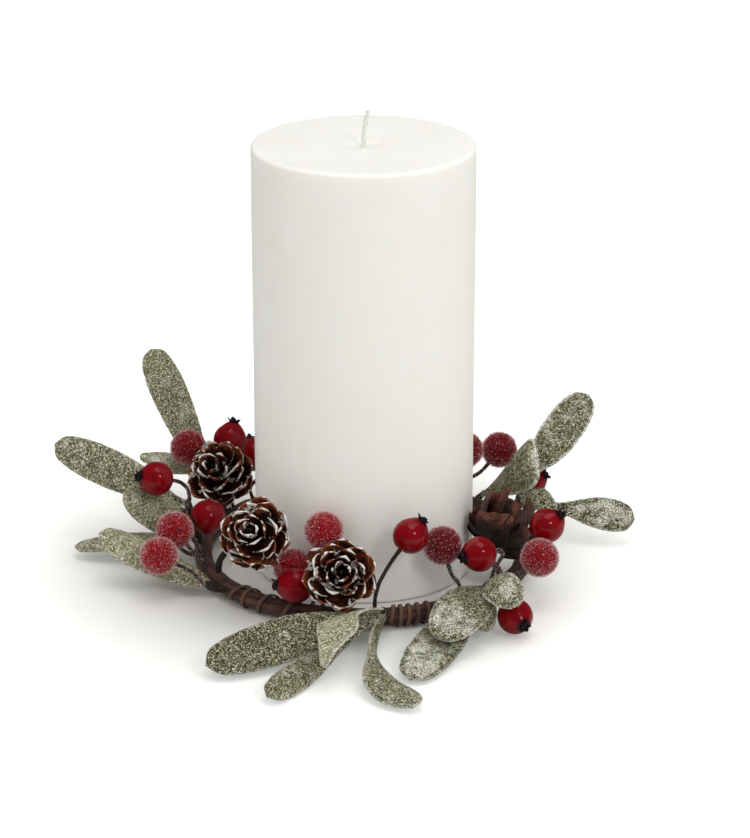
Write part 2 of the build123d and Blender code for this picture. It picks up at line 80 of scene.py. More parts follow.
# Bindings: angles around the hoop at which each starts, passes over the top and ends, and its tails in turns
TWINE_CLEARANCE = 0.05 * MM
TWINE_TAIL = 0.04
BINDINGS = {
    "twine_front_left": (220.4, 224.1, 227.5, 235.8, 246.1, 249.0),
    "twine_front_right": (278.6, 280.2, 282.6, 285.4, 288.5, 292.0, 294.0),
    "twine_back_right": (57.8, 59.0, 62.6, 67.2, 71.2, 74.2),
    "twine_back_left": (104.8, 106.0, 110.4, 114.0, 118.4, 121.2),
}

# Twigs: angle of the root on the hoop, heading from there and rise, in degrees
TWIGS = {
    "left_low": (213.5, -44, 2),
    "left_high": (181.8, -55, 60),
    "left_back": (156.1, -40, 45),
    "front": (278.4, -20, 35),
    "front_right": (309.0, 0, 45),
    "right_back": (22.0, 20, 68),
    "back_right": (47.1, -20, 30),
    "back": (98.2, 0, 35),
}

# Leaves, in millimetres and degrees: twig, place along it, length, heading from the twig's root, rise, width,
# bow of the midrib, cup as a share of the half width, roll at the foot and outline. Their looks: tone from
# gold olive (0) to silver grey (1), how white the blade turns towards its tip, and how pale its rim is.
# Twist is the further roll at the tip.
LEAF_FIELDS = "twig place length turn rise width bow cup roll outline tone frost rim twist"
Leaf = namedtuple("Leaf", LEAF_FIELDS, defaults=(0,))
LEAVES = {
    "left_back_tall": Leaf("left_back", 23, 46, -20, 56, 13, -2, 0.12, 42, "broad", 0.8, 0.05, 0.3),
    "left_back_small": Leaf("left_back", 20.5, 23.5, 18, 13, 8, 0.5, 0.12, 40, "pointed", 1.0, 0.8, 0.3),
    "left_long": Leaf("left_high", 17, 52, -17, 20, 13.5, 2, 0.12, 60, "spoon", 0.35, 0.1, 0.5),
    "left_round": Leaf("left_high", 6.8, 31, 13, 35, 14, -1, 0.12, 55, "oval", 0.8, 0.15, 0.3),
    "left_front": Leaf("left_low", 5.4, 42, -49, 20, 12.5, -1.5, 0.12, 25, "broad", 1.0, 0.15, 0.3),
    "left_flat": Leaf("left_high", 4.6, 44, -6, -6, 12, 1, 0.12, 5, "spoon", 0.7, 0.15, 0.4),
    "front_broad": Leaf("front", 6.5, 67, -67, -2, 16, 2, -0.1, 36, "spoon", -0.3, 0.0, 0.3),
    "front_slim": Leaf("front", 8.3, 64, -43.5, -4.6, 10, -2, 0.22, 30, "stalked", 0.2, 0.1, 0.4),
    "front_folded": Leaf("front", 10, 49, -31, 1.5, 13.5, 6.5, 0.2, -40, "turned", 1.0, 0.05, 0.8, 65),
    "front_twisted": Leaf("front", 4.6, 62, -1, -3.5, 15.5, -8, 0.12, 88, "ribbon", 0.3, 0.1, 0.7, -100),
    "right_front_long": Leaf("front_right", 6.5, 58, -63, -6, 15.5, -0.5, 0.12, 14, "spoon", -0.1, 0.68, 0.5),
    "right_front_broad": Leaf("front_right", 10.6, 38, -63, -4, 17.5, 2, 0.12, 15, "oval", 0.0, 0.65, 0.6),
    "right_front_small": Leaf("front_right", 8.8, 21, -36, -15, 8.2, 1, 0.12, -5, "oval", 0.35, 0.1, 0.5),
    "right_front_curled": Leaf("front_right", 15, 20, -13, 0, 12.5, 3, 0.25, -32, "oval", 0.3, 0.3, 0.9),
    "right_back_folded": Leaf(
        "back_right", 5.5, 41, -102, 38, 18, -1, 0.45, -50, "blunt", 0.3, 0.05, 1.2, -25),
    "right_back_tall": Leaf("right_back", 15.5, 40, -14, 55, 14, 2, -0.2, -60, "spoon", 0.35, 0.25, 1.7),
    "right_back_long": Leaf("right_back", 8, 42, -34, -3, 12, 3, 0.15, -50, "stalked", 0.0, 0.7, 0.6),
    "right_back_small": Leaf("right_back", 12, 22, -80, 5, 9, 2, 0.3, -40, "pointed", 0.0, 0.0, 0.5),
    "back_long": Leaf("back", 11.5, 48, 18, 6, 14, 3, 0.12, 15, "spoon", 0.3, 0.1, 0.4),
    "back_short": Leaf("back", 7.5, 46, -22, 4, 13, 3, 0.12, 10, "spoon", 0.4, 0.1, 0.4),
}
LEAF_STALK = 2.2
LEAF_GRAINS_PER_MM2 = 3.0

# Grains: least and greatest half width, in millimetres
LEAF_GRAIN, TWIG_GRAIN, WIRE_CRYSTAL = (0.08, 0.17), (0.1, 0.24), (0.08, 0.2)
NEEDLE_SIZE, SPARKLE_SIZE = (0.035, 0.065), (0.1, 0.21)

# Outlines of the leaves: place along the midrib, and how much of the full width is gained there
OUTLINES = {
    "spoon": (
        (0, 0), (0.1, 0.04), (0.21, 0.32), (0.33, 0.7), (0.47, 0.94), (0.63, 1), (0.79, 0.92), (0.89, 0.74),
        (0.96, 0.45), (1, 0.02)),
    "broad": (
        (0, 0), (0.07, 0.3), (0.16, 0.58), (0.3, 0.78), (0.48, 0.94), (0.66, 1), (0.81, 0.92), (0.91, 0.72),
        (0.97, 0.42), (1, 0.02)),
    "oval": (
        (0, 0), (0.07, 0.3), (0.18, 0.68), (0.33, 0.92), (0.5, 1), (0.68, 0.95), (0.82, 0.78), (0.92, 0.52),
        (0.97, 0.3), (1, 0.02)),
    "pointed": (
        (0, 0), (0.1, 0.1), (0.22, 0.42), (0.35, 0.78), (0.5, 1), (0.64, 0.94), (0.78, 0.68), (0.89, 0.36),
        (0.96, 0.14), (1, 0)),
    "ribbon": (
        (0, 0), (0.12, 0.18), (0.27, 0.2), (0.41, 0.14), (0.53, 0.36), (0.65, 0.74), (0.78, 1), (0.87, 0.94),
        (0.94, 0.66), (0.98, 0.3), (1, 0.02)),
    "stalked": (
        (0, 0), (0.12, 0.03), (0.27, 0.08), (0.41, 0.24), (0.53, 0.58), (0.65, 0.88), (0.78, 1), (0.89, 0.88),
        (0.96, 0.56), (1, 0.02)),
    "turned": (
        (0, 0), (0.12, 0.06), (0.27, 0.14), (0.4, 0.42), (0.5, 0.84), (0.58, 1), (0.68, 0.8), (0.8, 0.45),
        (0.9, 0.22), (0.96, 0.12), (1, 0.02)),
    "blunt": (
        (0, 0), (0.1, 0.04), (0.25, 0.3), (0.45, 0.66), (0.65, 0.9), (0.82, 1), (0.93, 0.86), (0.98, 0.55),
        (1, 0.1)),
}

# Frosted berries: thickness of the crust, its fine needles and its few sparkles, the distances from a berry's
# middle between which crystals sit on the wires, and the painted shade that darkens some berries' red and
# crystals
CRUST = 0.8 * MM
NEEDLES, SPARKLES = 3300, 240
FROST_NEAR, FROST_FAR = 6.4 * MM, 19 * MM
SHADED_BERRIES = {
    "frosted_berry_front_right": 0.8,
    "frosted_berry_right_back": 0.7,
    "frosted_berry_right_inner": 0.6,
    "frosted_berry_left_back": 0.4,
    "frosted_berry_right": 0.2,
}

# Cones: rings of scales (how many, reach and height of their tips, height of their roots, and width, in
# millimetres), cup, flatness near the root, whether the tips are torn, and the widths of painted rim with
# their odds
ConeStyle = namedtuple("ConeStyle", "rings cup flat torn rims odds")
CONE_STYLES = {
    "painted": ConeStyle(
        [(6, 12.2, 5.4, 1.4, 9.6), (7, 12.9, 9.4, 3.8, 9.2), (7, 11.4, 13.0, 6.8, 8.4),
         (6, 8.8, 16.2, 9.4, 7.6), (5, 5.8, 18.8, 12.0, 6.0), (4, 3.0, 20.6, 14.0, 4.2)],
        0.3, 0.84, False, (0.45, 1.0, 2.0, 4.0), (0.42, 0.28, 0.17, 0.13)),
    "plain": ConeStyle(
        [(4, 11.2, 10.0, 0.5, 13.5), (4, 10.2, 14.6, 1.5, 13.5), (3, 7.8, 17.6, 3.5, 12.5),
         (2, 4.2, 18.0, 6.0, 9.5)],
        0.12, 1.18, True, (0.01,), (1.0,)),
}
CONES = {
    "cone_left": "painted",
    "cone_front_left": "painted",
    "cone_front": "painted",
    "cone_right": "plain",
    "cone_back": "painted",
}

# Scales start at most this far from a cone's axis, and end this far from the candle
ROOT_REACH, CANDLE_GAP = 2.6 * MM, 0.2 * MM
# Distance in from a painted rim, in widths of the rim, that stands for bare wood
UNPAINTED = 9.0


# Node helpers


def srgb(red, green, blue):
    """Linear colour of an 8-bit display colour."""
    parts = []
    for value in (red, green, blue):
        share = value / 255
        parts.append(share / 12.92 if share <= 0.04045 else ((share + 0.055) / 1.055) ** 2.4)
    return (*parts, 1.0)


class Nodes:
    """The node tree of a material or a world, with short ways to add to it."""

    def __init__(self, owner):
        owner.use_nodes = True
        self.owner, self.tree = owner, owner.node_tree

    def feed(self, sockets, inputs):
        """Sets sockets to values, or links them to other sockets."""
        for key, value in inputs.items():
            if isinstance(value, bpy.types.NodeSocket):
                self.tree.links.new(value, sockets[key])
            else:
                sockets[key].default_value = value

    def add(self, kind, inputs=None, settings=None):
        """A new node with its settings and its inputs."""
        made = self.tree.nodes.new(kind)
        for key, value in (settings or {}).items():
            setattr(made, key, value)
        self.feed(made.inputs, inputs or {})
        return made

    def finish(self, inputs):
        """The material, once the inputs of its main shader are set."""
        self.feed(self.tree.nodes["Principled BSDF"].inputs, inputs)
        return self.owner

    def place(self, stretch=(1, 1, 1)):
        """Place on the object in metres, stretched along its axes."""
        inputs = {"Vector": self.add("ShaderNodeTexCoord").outputs["Object"], "Scale": stretch}
        return self.add("ShaderNodeMapping", inputs).outputs["Vector"]

    def noise(self, grain, detail=3.0, stretch=(1, 1, 1)):
        """Soft noise whose patches are about one grain across."""
        inputs = {"Vector": self.place(stretch), "Scale": 1 / grain, "Detail": detail, "Roughness": 0.6}
        return self.add("ShaderNodeTexNoise", inputs).outputs["Fac"]

    def cells(self, grain):
        """A random colour for each cell about one grain across."""
        inputs = {"Vector": self.place(), "Scale": 1 / grain, "Randomness": 1.0}
        return self.add("ShaderNodeTexVoronoi", inputs).outputs["Color"]

    def split(self, colour):
        """The red, green and blue of a colour."""
        return self.add("ShaderNodeSeparateColor", {"Color": colour}).outputs

    def ramp(self, factor, *stops):
        """Colour ramp through stops, each a place and an 8-bit colour."""
        made = self.add("ShaderNodeValToRGB", {"Fac": factor})
        elements = made.color_ramp.elements
        elements.remove(elements[1])
        elements[0].position, elements[0].color = stops[0][0], srgb(*stops[0][1:])
        for place, *colour in stops[1:]:
            elements.new(place).color = srgb(*colour)
        return made.outputs["Color"]

    def combine(self, operation, first, second, clamp=False):
        """Result of an operation on two values."""
        settings = {"operation": operation, "use_clamp": clamp}
        return self.add("ShaderNodeMath", {0: first, 1: second}, settings).outputs["Value"]

    def plus(self, first, second, clamp=False):
        """Sum of two values."""
        return self.combine("ADD", first, second, clamp)

    def times(self, first, second, clamp=False):
        """Product of two values."""
        return self.combine("MULTIPLY", first, second, clamp)

    def vector(self, operation, *parts):
        """Results of an operation on vectors."""
        return self.add("ShaderNodeVectorMath", dict(enumerate(parts)), {"operation": operation}).outputs

    def span(self, value, low, high, start=0.0, stop=1.0):
        """A value mapped from one range to another, and held at its ends."""
        inputs = {"Value": value, "From Min": low, "From Max": high, "To Min": start, "To Max": stop}
        return self.add("ShaderNodeMapRange", inputs).outputs["Result"]

    def blend(self, factor, first, second):
        """Mix of two colours."""
        return self.add("ShaderNodeMix", {0: factor, 6: first, 7: second}, {"data_type": "RGBA"}).outputs[2]

    def stored(self, name):
        """A value stored on the mesh."""
        return self.add("ShaderNodeAttribute", settings={"attribute_name": name}).outputs["Fac"]

    def bump(self, height, depth, **normal):
        """Normal bent by a height of at most the given depth."""
        inputs = {"Height": height, "Distance": depth, "Strength": 1.0, **normal}
        return self.add("ShaderNodeBump", inputs).outputs["Normal"]


def new_material(name):
    """The nodes of a new material."""
    return Nodes(bpy.data.materials.new(name))


# Materials


def wax_material():
    """Ivory wax, a little cloudy, with light inside it."""
    shade = new_material("ivory_wax")
    cloud = shade.noise(26 * MM, 2.0)
    streak = shade.noise(3.5 * MM, 2.0, (1, 1, 0.05))
    mottle = shade.plus(shade.times(streak, 0.2), cloud)
    return shade.finish({
        "Base Color": shade.ramp(mottle, (0.35, 249, 246, 236), (0.95, 253, 251, 245)),
        "Roughness": shade.span(cloud, 0.3, 0.7, 0.4, 0.5),
        "Subsurface Weight": 0.4,
        "Subsurface Radius": (1.0, 0.85, 0.65),
        "Subsurface Scale": 4 * MM,
        "Specular IOR Level": 0.35,
        "Normal": shade.bump(streak, 0.015 * MM),
    })


def wick_material():
    """Waxed cotton: pale strands with a little grey between them."""
    shade = new_material("cotton_wick")
    fibre = shade.noise(0.35 * MM)
    return shade.finish({
        "Base Color": shade.ramp(fibre, (0.3, 222, 219, 208), (0.7, 248, 247, 240)),
        "Roughness": 0.75,
        "Subsurface Weight": 0.3,
        "Subsurface Scale": 1 * MM,
        "Normal": shade.bump(fibre, 0.06 * MM),
    })


def paper_material(name, dark, middle, light):
    """Twisted crepe paper, mottled in its fibre, with painted shade: dark in its creases and pale on its
    ridges.
    """
    shade = new_material(name)
    fibre = shade.noise(0.5 * MM, 4.0)
    patch = shade.noise(5 * MM, 2.0)
    # Painted shade and light: the stored ridge height makes creases dark and ridges pale, under fibre and
    # patches
    paleness = shade.plus(shade.stored("ridge"), shade.times(fibre, 0.35))
    paleness = shade.plus(paleness, shade.times(patch, 0.3))
    return shade.finish({
        "Base Color": shade.ramp(paleness, (0.35, *dark), (0.75, *middle), (1.15, *light)),
        "Roughness": shade.span(fibre, 0.3, 0.7, 0.6, 0.85),
        "Sheen Weight": 0.1,
        "Normal": shade.bump(fibre, 0.15 * MM),
    })


def stem_material():
    """Wire covered in thin dark brown paper."""
    shade = new_material("stem_paper")
    fibre = shade.noise(0.6 * MM, 4.0)
    return shade.finish({
        "Base Color": shade.ramp(fibre, (0.3, 24, 11, 9), (0.6, 46, 26, 20), (0.8, 78, 48, 38)),
        "Roughness": 0.62,
        "Normal": shade.bump(fibre, 0.2 * MM),
    })


def steel_material():
    """Drawn steel wire."""
    shade = new_material("drawn_steel")
    return shade.finish({
        "Base Color": shade.ramp(shade.noise(0.4 * MM, 2.0), (0.3, 120, 120, 122), (0.7, 160, 160, 163)),
        "Metallic": 1.0,
        "Roughness": 0.4,
    })


def leaf_material():
    """Felt-like blade covered in glitter: dark olive with pale specks, paler rims and patches of frost."""
    shade = new_material("glittered_leaf")
    cell = shade.cells(0.36 * MM)
    parts = shade.split(cell)
    fine = shade.split(shade.cells(0.2 * MM))["Red"]
    speck = shade.plus(shade.times(parts["Red"], 0.7), shade.times(fine, 0.3))
    patch = shade.noise(4.5 * MM, 4.0)
    olive = shade.ramp(
        speck, (0.15, 24, 26, 2), (0.5, 56, 59, 14), (0.66, 94, 95, 48), (0.8, 192, 190, 148),
        (0.95, 251, 249, 224))
    silver = shade.ramp(
        speck, (0.15, 78, 79, 46), (0.5, 134, 133, 96), (0.75, 196, 194, 160), (0.95, 250, 249, 228))
    white = shade.ramp(
        speck, (0.15, 140, 139, 116), (0.5, 206, 205, 192), (0.75, 238, 238, 232), (0.95, 254, 254, 251))
    # The stored tone also carries painted shade: a darker olive towards the foot of each blade
    tone = shade.plus(shade.stored("tone"), shade.span(patch, 0.3, 0.7, -0.3, 0.3), True)
    frost = shade.plus(shade.stored("frost"), shade.span(patch, 0.32, 0.68, -0.7, 0.4), True)
    spotted = shade.plus(frost, shade.span(parts["Green"], 0, 1, -0.3, 0.3), True)
    paleness = shade.times(shade.stored("rim"), shade.span(patch, 0.3, 0.6, 0.3, 1.0), True)
    colour = shade.blend(tone, olive, silver)
    colour = shade.blend(spotted, colour, white)
    colour = shade.blend(paleness, colour, white)
    tilt = shade.vector("MULTIPLY_ADD", cell, (0.8, 0.8, 0.8), (-0.4, -0.4, -0.4))["Vector"]
    smooth = shade.add("ShaderNodeNewGeometry").outputs["Normal"]
    facet = shade.vector("NORMALIZE", shade.vector("ADD", smooth, tilt)["Vector"])["Vector"]
    return shade.finish({
        "Base Color": colour,
        "Roughness": shade.span(parts["Blue"], 0, 1, 0.4, 0.8),
        "Specular IOR Level": 0.25,
        "Normal": shade.bump(shade.noise(0.5 * MM), 0.12 * MM, Normal=facet),
    })


def glitter_material():
    """Loose grains of glitter: olive, pale gold and silver."""
    shade = new_material("glitter_grains")
    return shade.finish({
        "Base Color": shade.ramp(
            shade.stored("tint"), (0.0, 32, 33, 6), (0.4, 68, 68, 30), (0.65, 150, 148, 106),
            (1.0, 250, 248, 222)),
        "Roughness": 0.35,
    })


def frosted_core_material():
    """Deep red ball seen between the crystals, darker on some berries as painted shade, with a pale bloom."""
    shade = new_material("berry_core")
    mottle = shade.noise(1.1 * MM)
    bright = shade.ramp(mottle, (0.3, 102, 0, 9), (0.55, 142, 1, 16), (0.75, 174, 6, 26))
    # A darker copy of the red, for painted shade on some berries
    deep = shade.ramp(mottle, (0.3, 50, 0, 6), (0.55, 78, 1, 11), (0.75, 108, 4, 19))
    return shade.finish({
        "Base Color": shade.blend(shade.stored("deep"), bright, deep),
        "Roughness": 0.45,
        "Specular IOR Level": 0.1,
        "Sheen Weight": 0.3,
        "Sheen Roughness": 0.35,
        "Sheen Tint": (1.0, 0.86, 0.86, 1.0),
        "Normal": shade.bump(shade.noise(0.6 * MM, 2.0), 0.15 * MM),
    })


def crystal_material():
    """Sugar-like crystals: clear over the red of the berry, and pale where they catch the light."""
    shade = new_material("berry_crystals")
    tint = shade.stored("tint")
    return shade.finish({
        "Base Color": shade.ramp(
            tint, (0.0, 150, 10, 30), (0.4, 206, 84, 94), (0.7, 232, 168, 170), (0.9, 246, 224, 222),
            (1.0, 255, 250, 248)),
        "Roughness": 0.2,
        "Specular IOR Level": 0.5,
        "Alpha": shade.span(tint, 0.35, 1.0, 0.15, 0.95),
    })


def lacquer_material():
    """Deep red lacquer, darker at the two poles."""
    shade = new_material("red_lacquer")
    dark = shade.plus(shade.times(shade.noise(5 * MM, 2.0), 0.5), shade.stored("pole"))
    return shade.finish({
        "Base Color": shade.ramp(dark, (0.15, 132, 0, 13), (0.5, 98, 0, 11), (1.1, 13, 0, 3)),
        "Roughness": 0.4,
        "Specular IOR Level": 0.04,
        "Coat Weight": 0.42,
        "Coat Roughness": 0.05,
        "Normal": shade.bump(shade.noise(1.5 * MM, 2.0), 0.02 * MM),
    })


def crown_material():
    """Dried calyx, nearly black."""
    shade = new_material("dried_calyx")
    dry = shade.noise(0.6 * MM, 4.0)
    return shade.finish({
        "Base Color": shade.ramp(dry, (0.3, 14, 8, 14), (0.6, 34, 20, 28), (0.85, 72, 46, 52)),
        "Roughness": 0.6,
        "Specular IOR Level": 0.25,
        "Normal": shade.bump(dry, 0.25 * MM),
    })


def cone_material(name, dark, middle, light, rough):
    """Cone scales with painted shade, dark at their roots and ruddy brown outside, with white paint brushed
    on their rims.
    """
    shade = new_material(name)
    grain = shade.noise(0.8 * MM, 4.0)
    patch = shade.noise(4 * MM, 2.0)
    # Painted shade: the wood darkens towards the roots of the scales and the core, with grain and patches on
    # top
    root_shade_and_grain = shade.plus(shade.stored("reach"), shade.span(grain, 0.3, 0.7, -0.25, 0.25))
    root_shade_and_grain = shade.plus(root_shade_and_grain, shade.span(patch, 0.3, 0.7, -0.25, 0.25))
    wood = shade.ramp(root_shade_and_grain, (0.35, *dark), (0.75, *middle), (1.1, *light))
    rim = shade.plus(shade.stored("rim"), shade.span(shade.noise(0.9 * MM), 0.3, 0.7, -0.5, 0.5))
    rim = shade.plus(rim, shade.span(shade.noise(3.6 * MM, 2.0), 0.37, 0.6, -0.7, 1.9))
    painted = shade.span(rim, 0.8, 1.0, 1.0, 0.0)
    white = shade.ramp(grain, (0.3, 214, 208, 198), (0.7, 246, 244, 238))
    return shade.finish({
        "Base Color": shade.blend(painted, wood, white),
        "Roughness": shade.span(painted, 0, 1, rough, 0.62),
        "Specular IOR Level": 0.4,
        "Normal": shade.bump(shade.plus(grain, shade.times(painted, 1.2)), 0.15 * MM),
    })


def floor_material():
    """Pale floor that keeps its shadows, with painted light for the camera: it glows more the farther it lies
    from a middle a little to the left and front, until it reads as white paper.
    """
    shade = new_material("white_floor")
    camera_ray = shade.add("ShaderNodeLightPath").outputs["Is Camera Ray"]
    # Painted light: no glow near the middle, so the shade around the ring stays, and more glow farther out
    away = shade.vector("DISTANCE", shade.place(), FLOOR_MIDDLE)["Value"]
    near = shade.span(away, FLOOR_DARK, FLOOR_NEAR, 0.0, NEAR_LIFT)
    far = shade.span(away, FLOOR_NEAR, FLOOR_FAR, 0.0, FAR_LIFT)
    return shade.finish({
        "Base Color": FLOOR_COLOUR,
        "Roughness": 1.0,
        "Specular IOR Level": 0.0,
        "Emission Color": WHITE,
        "Emission Strength": shade.times(camera_ray, shade.plus(near, far)),
    })


# Geometry helpers


def unit(vectors):
    """Vectors of length one, along the last axis."""
    return vectors / np.maximum(np.linalg.norm(vectors, axis=-1, keepdims=True), 1e-12)


def ease(low, high, value):
    """Smooth step from 0 at low to 1 at high."""
    share = np.clip((value - low) / (high - low), 0, 1)
    return share * share * (3 - 2 * share)


def upward(height):
    """Vector straight up."""
    return np.array([0, 0, height])


def heading(angle):
    """Unit vector in the plan at an angle in degrees."""
    return np.array([math.cos(math.radians(angle)), math.sin(math.radians(angle)), 0.0])


def slanted(angle, rise):
    """Unit vector at a heading in the plan and a rise above it, in degrees."""
    return heading(angle) * math.cos(math.radians(rise)) + upward(math.sin(math.radians(rise)))


def sideways(turn):
    """Unit vectors out from an axis and around it, at a turn in radians."""
    return np.array([math.cos(turn), math.sin(turn), 0.0]), np.array([-math.sin(turn), math.cos(turn), 0.0])


def smooth_through(marks, places):
    """Smooth curve through some marks, read at some places."""
    marks = np.array(marks, float)
    slopes = np.gradient(marks[:, 1], marks[:, 0])
    after = np.clip(np.searchsorted(marks[:, 0], places), 1, len(marks) - 1)
    before = after - 1
    gap = marks[after, 0] - marks[before, 0]
    share = (places - marks[before, 0]) / gap
    rest = 1 - share
    ends = marks[before, 1] * (1 + 2 * share) * rest**2 + marks[after, 1] * share**2 * (3 - 2 * share)
    tilts = slopes[before] * share * rest**2 - slopes[after] * share**2 * rest
    return np.clip(ends + gap * tilts, 0, 1)


def join(shapes):
    """One list of points and faces from several."""
    points, faces, first = [], [], 0
    for shape_points, shape_faces in shapes:
        points.append(np.asarray(shape_points, float))
        faces.extend([tuple(first + corner for corner in face) for face in shape_faces])
        first += len(shape_points)
    return np.concatenate(points), faces


def grid_faces(rows, columns, around=False):
    """Faces of a grid of points, closed around its columns if asked."""
    faces = []
    last = columns if around else columns - 1
    for row in range(rows - 1):
        for column in range(last):
            beside = (column + 1) % columns
            here, above = row * columns, (row + 1) * columns
            faces.append((here + column, here + beside, above + beside, above + column))
    return faces


def skin_faces(rows, sides):
    """Faces of a closed skin: rings of points, then the two points that close its ends."""
    faces = grid_faces(rows, sides, True)
    end = (rows - 1) * sides
    foot, top = rows * sides, rows * sides + 1
    for side in range(sides):
        beside = (side + 1) % sides
        faces += [(beside, side, foot), (end + side, end + beside, top)]
    return faces


def slab(front, back, rows, columns):
    """Closed plate between a front and a back grid of points."""
    count = rows * columns
    faces = grid_faces(rows, columns)
    faces += [tuple(count + corner for corner in reversed(face)) for face in grid_faces(rows, columns)]
    rim = list(range(columns))
    rim += [row * columns + columns - 1 for row in range(1, rows)]
    rim += [(rows - 1) * columns + column for column in range(columns - 2, -1, -1)]
    rim += [row * columns for row in range(rows - 2, 0, -1)]
    for here, beside in zip(rim, rim[1:] + rim[:1]):
        faces.append((beside, here, count + here, count + beside))
    return np.concatenate([front, back]), faces


def tube(path, rings):
    """Closed tube along a path, with its radius for each row and side."""
    path = np.asarray(path, float)
    rows, sides = rings.shape
    way = unit(np.gradient(path, axis=0))
    across = np.cross(way[0], (0.31, 0.47, 0.83))
    turn = 2 * np.pi * np.arange(sides) / sides
    points = []
    for row in range(rows):
        across = unit(across - way[row] * np.dot(across, way[row]))
        up = np.cross(way[row], across)
        offsets = np.outer(np.cos(turn) * rings[row], across) + np.outer(np.sin(turn) * rings[row], up)
        points.append(path[row] + offsets)
    return np.concatenate(points + [path[:1], path[-1:]]), skin_faces(rows, sides)


def ball(rows, sides):
    """Unit ball as points and faces, with its poles on Z."""
    points = []
    for row in range(1, rows):
        fall = math.pi * row / rows
        for side in range(sides):
            turn = 2 * math.pi * side / sides
            points.append((math.sin(fall) * math.cos(turn), math.sin(fall) * math.sin(turn), -math.cos(fall)))
    points += [(0, 0, -1), (0, 0, 1)]
    return np.array(points), skin_faces(rows - 1, sides)


def turn_to(axis):
    """Rows of a turn that takes local X, Y and Z to three directions, with Z to the axis."""
    up = unit(np.asarray(axis, float))
    aside = unit(np.cross(up, (0.36, 0.48, 0.8)))
    return np.stack([aside, np.cross(up, aside), up])


def build(name, points, faces, materials, values=None, face_materials=None):
    """Mesh object with smooth faces and values stored on its points."""
    mesh = bpy.data.meshes.new(name)
    mesh.from_pydata(np.asarray(points).tolist(), [], faces)
    for material in materials:
        mesh.materials.append(material)
    mesh.polygons.foreach_set("use_smooth", [True] * len(mesh.polygons))
    if face_materials is not None:
        mesh.polygons.foreach_set("material_index", face_materials)
    for key, numbers in (values or {}).items():
        stored = mesh.attributes.new(key, "FLOAT", "POINT")
        stored.data.foreach_set("value", np.asarray(numbers, np.float32))
    mesh.update()
    piece = bpy.data.objects.new(name, mesh)
    bpy.context.scene.collection.objects.link(piece)
    return piece


def dress(piece, node, body):
    """The piece rides on a body and stands for a node, whose packed part it hides."""
    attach(piece, body)
    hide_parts(node)


def mesh_points(mesh):
    """Points of a mesh."""
    points = np.empty(len(mesh.vertices) * 3, np.float32)
    mesh.vertices.foreach_get("co", points)
    return points.reshape(-1, 3).astype(float)


def node_ball(node):
    """Middle and radius of a packed ball."""
    low, high = (np.array(corner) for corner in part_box(node))
    return (low + high) / 2, (high - low).max() / 2


def node_islands(node):
    """Points of each separate solid in a node, in a steady order."""
    mesh = NODES[node].data
    points = mesh_points(mesh)
    keys = np.round(points / (0.01 * MM)).astype(np.int64)
    same = np.unique(keys, axis=0, return_inverse=True)[1].reshape(-1)
    owner = list(range(same.max() + 1))

    def root(index):
        while owner[index] != index:
            owner[index] = owner[owner[index]]
            index = owner[index]
        return index

    for edge in mesh.edges:
        first, second = root(same[edge.vertices[0]]), root(same[edge.vertices[1]])
        if first != second:
            owner[max(first, second)] = min(first, second)
    roots = np.array([root(index) for index in same])
    islands = [points[roots == label] for label in np.unique(roots)]
    return sorted(islands, key=lambda island: tuple(np.round(island.mean(0), 5)))


def main_axis(points):
    """Middle of some points, and the direction in which they differ most from a disc or a ball."""
    middle = (points.min(0) + points.max(0)) / 2
    values, vectors = np.linalg.eigh(np.cov((points - points.mean(0)).T))
    odd = 0 if values[1] - values[0] > values[2] - values[1] else 2
    return middle, vectors[:, odd]


def sample_surface(mesh, count, rng):
    """Random points on a mesh, spread evenly over its area, and the normals there."""
    mesh.calc_loop_triangles()
    corners = np.empty(len(mesh.loop_triangles) * 3, np.int32)
    mesh.loop_triangles.foreach_get("vertices", corners)
    points = mesh_points(mesh)
    first, second, third = (points[corners.reshape(-1, 3)[:, side]] for side in range(3))
    normals = np.cross(second - first, third - first)
    areas = np.linalg.norm(normals, axis=1)
    chosen = rng.choice(len(areas), count, p=areas / areas.sum())
    shares = rng.random((count, 2))
    over = shares.sum(1) > 1
    shares[over] = 1 - shares[over]
    spots = first[chosen] + (second - first)[chosen] * shares[:, :1] + (third - first)[chosen] * shares[:, 1:]
    return spots, unit(normals[chosen])


def grains(spots, normals, sizes, flatness, tilt, rng):
    """Small closed eight-sided grains on a surface, leaning at random."""
    count = len(spots)
    up = unit(normals + tilt * rng.normal(size=(count, 3)))
    side = unit(np.cross(up, rng.normal(size=(count, 3))))
    front = np.cross(up, side)
    length = sizes * rng.uniform(0.7, 1.3, count)
    corners = [
        side * length[:, None],
        front * sizes[:, None],
        -side * length[:, None] * 0.8,
        -front * sizes[:, None] * 0.9,
        up * (flatness * sizes)[:, None],
        -up * (flatness * sizes)[:, None],
    ]
    points = np.stack([spots + corner for corner in corners], axis=1).reshape(-1, 3)
    faces = []
    for first in range(0, 6 * count, 6):
        for corner in range(4):
            beside = (corner + 1) % 4
            faces.append((first + corner, first + beside, first + 4))
            faces.append((first + beside, first + corner, first + 5))
    return points, faces


def build_grained(name, base, grain, tints, materials, values=None):
    """A piece with grains on it, which take the second material and a tint each."""
    bare = np.zeros(len(grain[0]))
    stored = {key: np.concatenate([numbers, bare]) for key, numbers in (values or {}).items()}
    stored["tint"] = np.concatenate([np.zeros(len(base[0])), np.repeat(tints, 6)])
    kinds = [0] * len(base[1]) + [1] * len(grain[1])
    return build(name, *join([base, grain]), materials, stored, kinds)


# Pieces


def rounded_edge(radius, level, edge, first):
    """Quarter round of an edge in the candle's outline, from a first angle in degrees."""
    turns = [math.radians(first + 15 * step) for step in range(7)]
    return [(radius - edge + edge * math.cos(turn), level + edge * math.sin(turn)) for turn in turns]


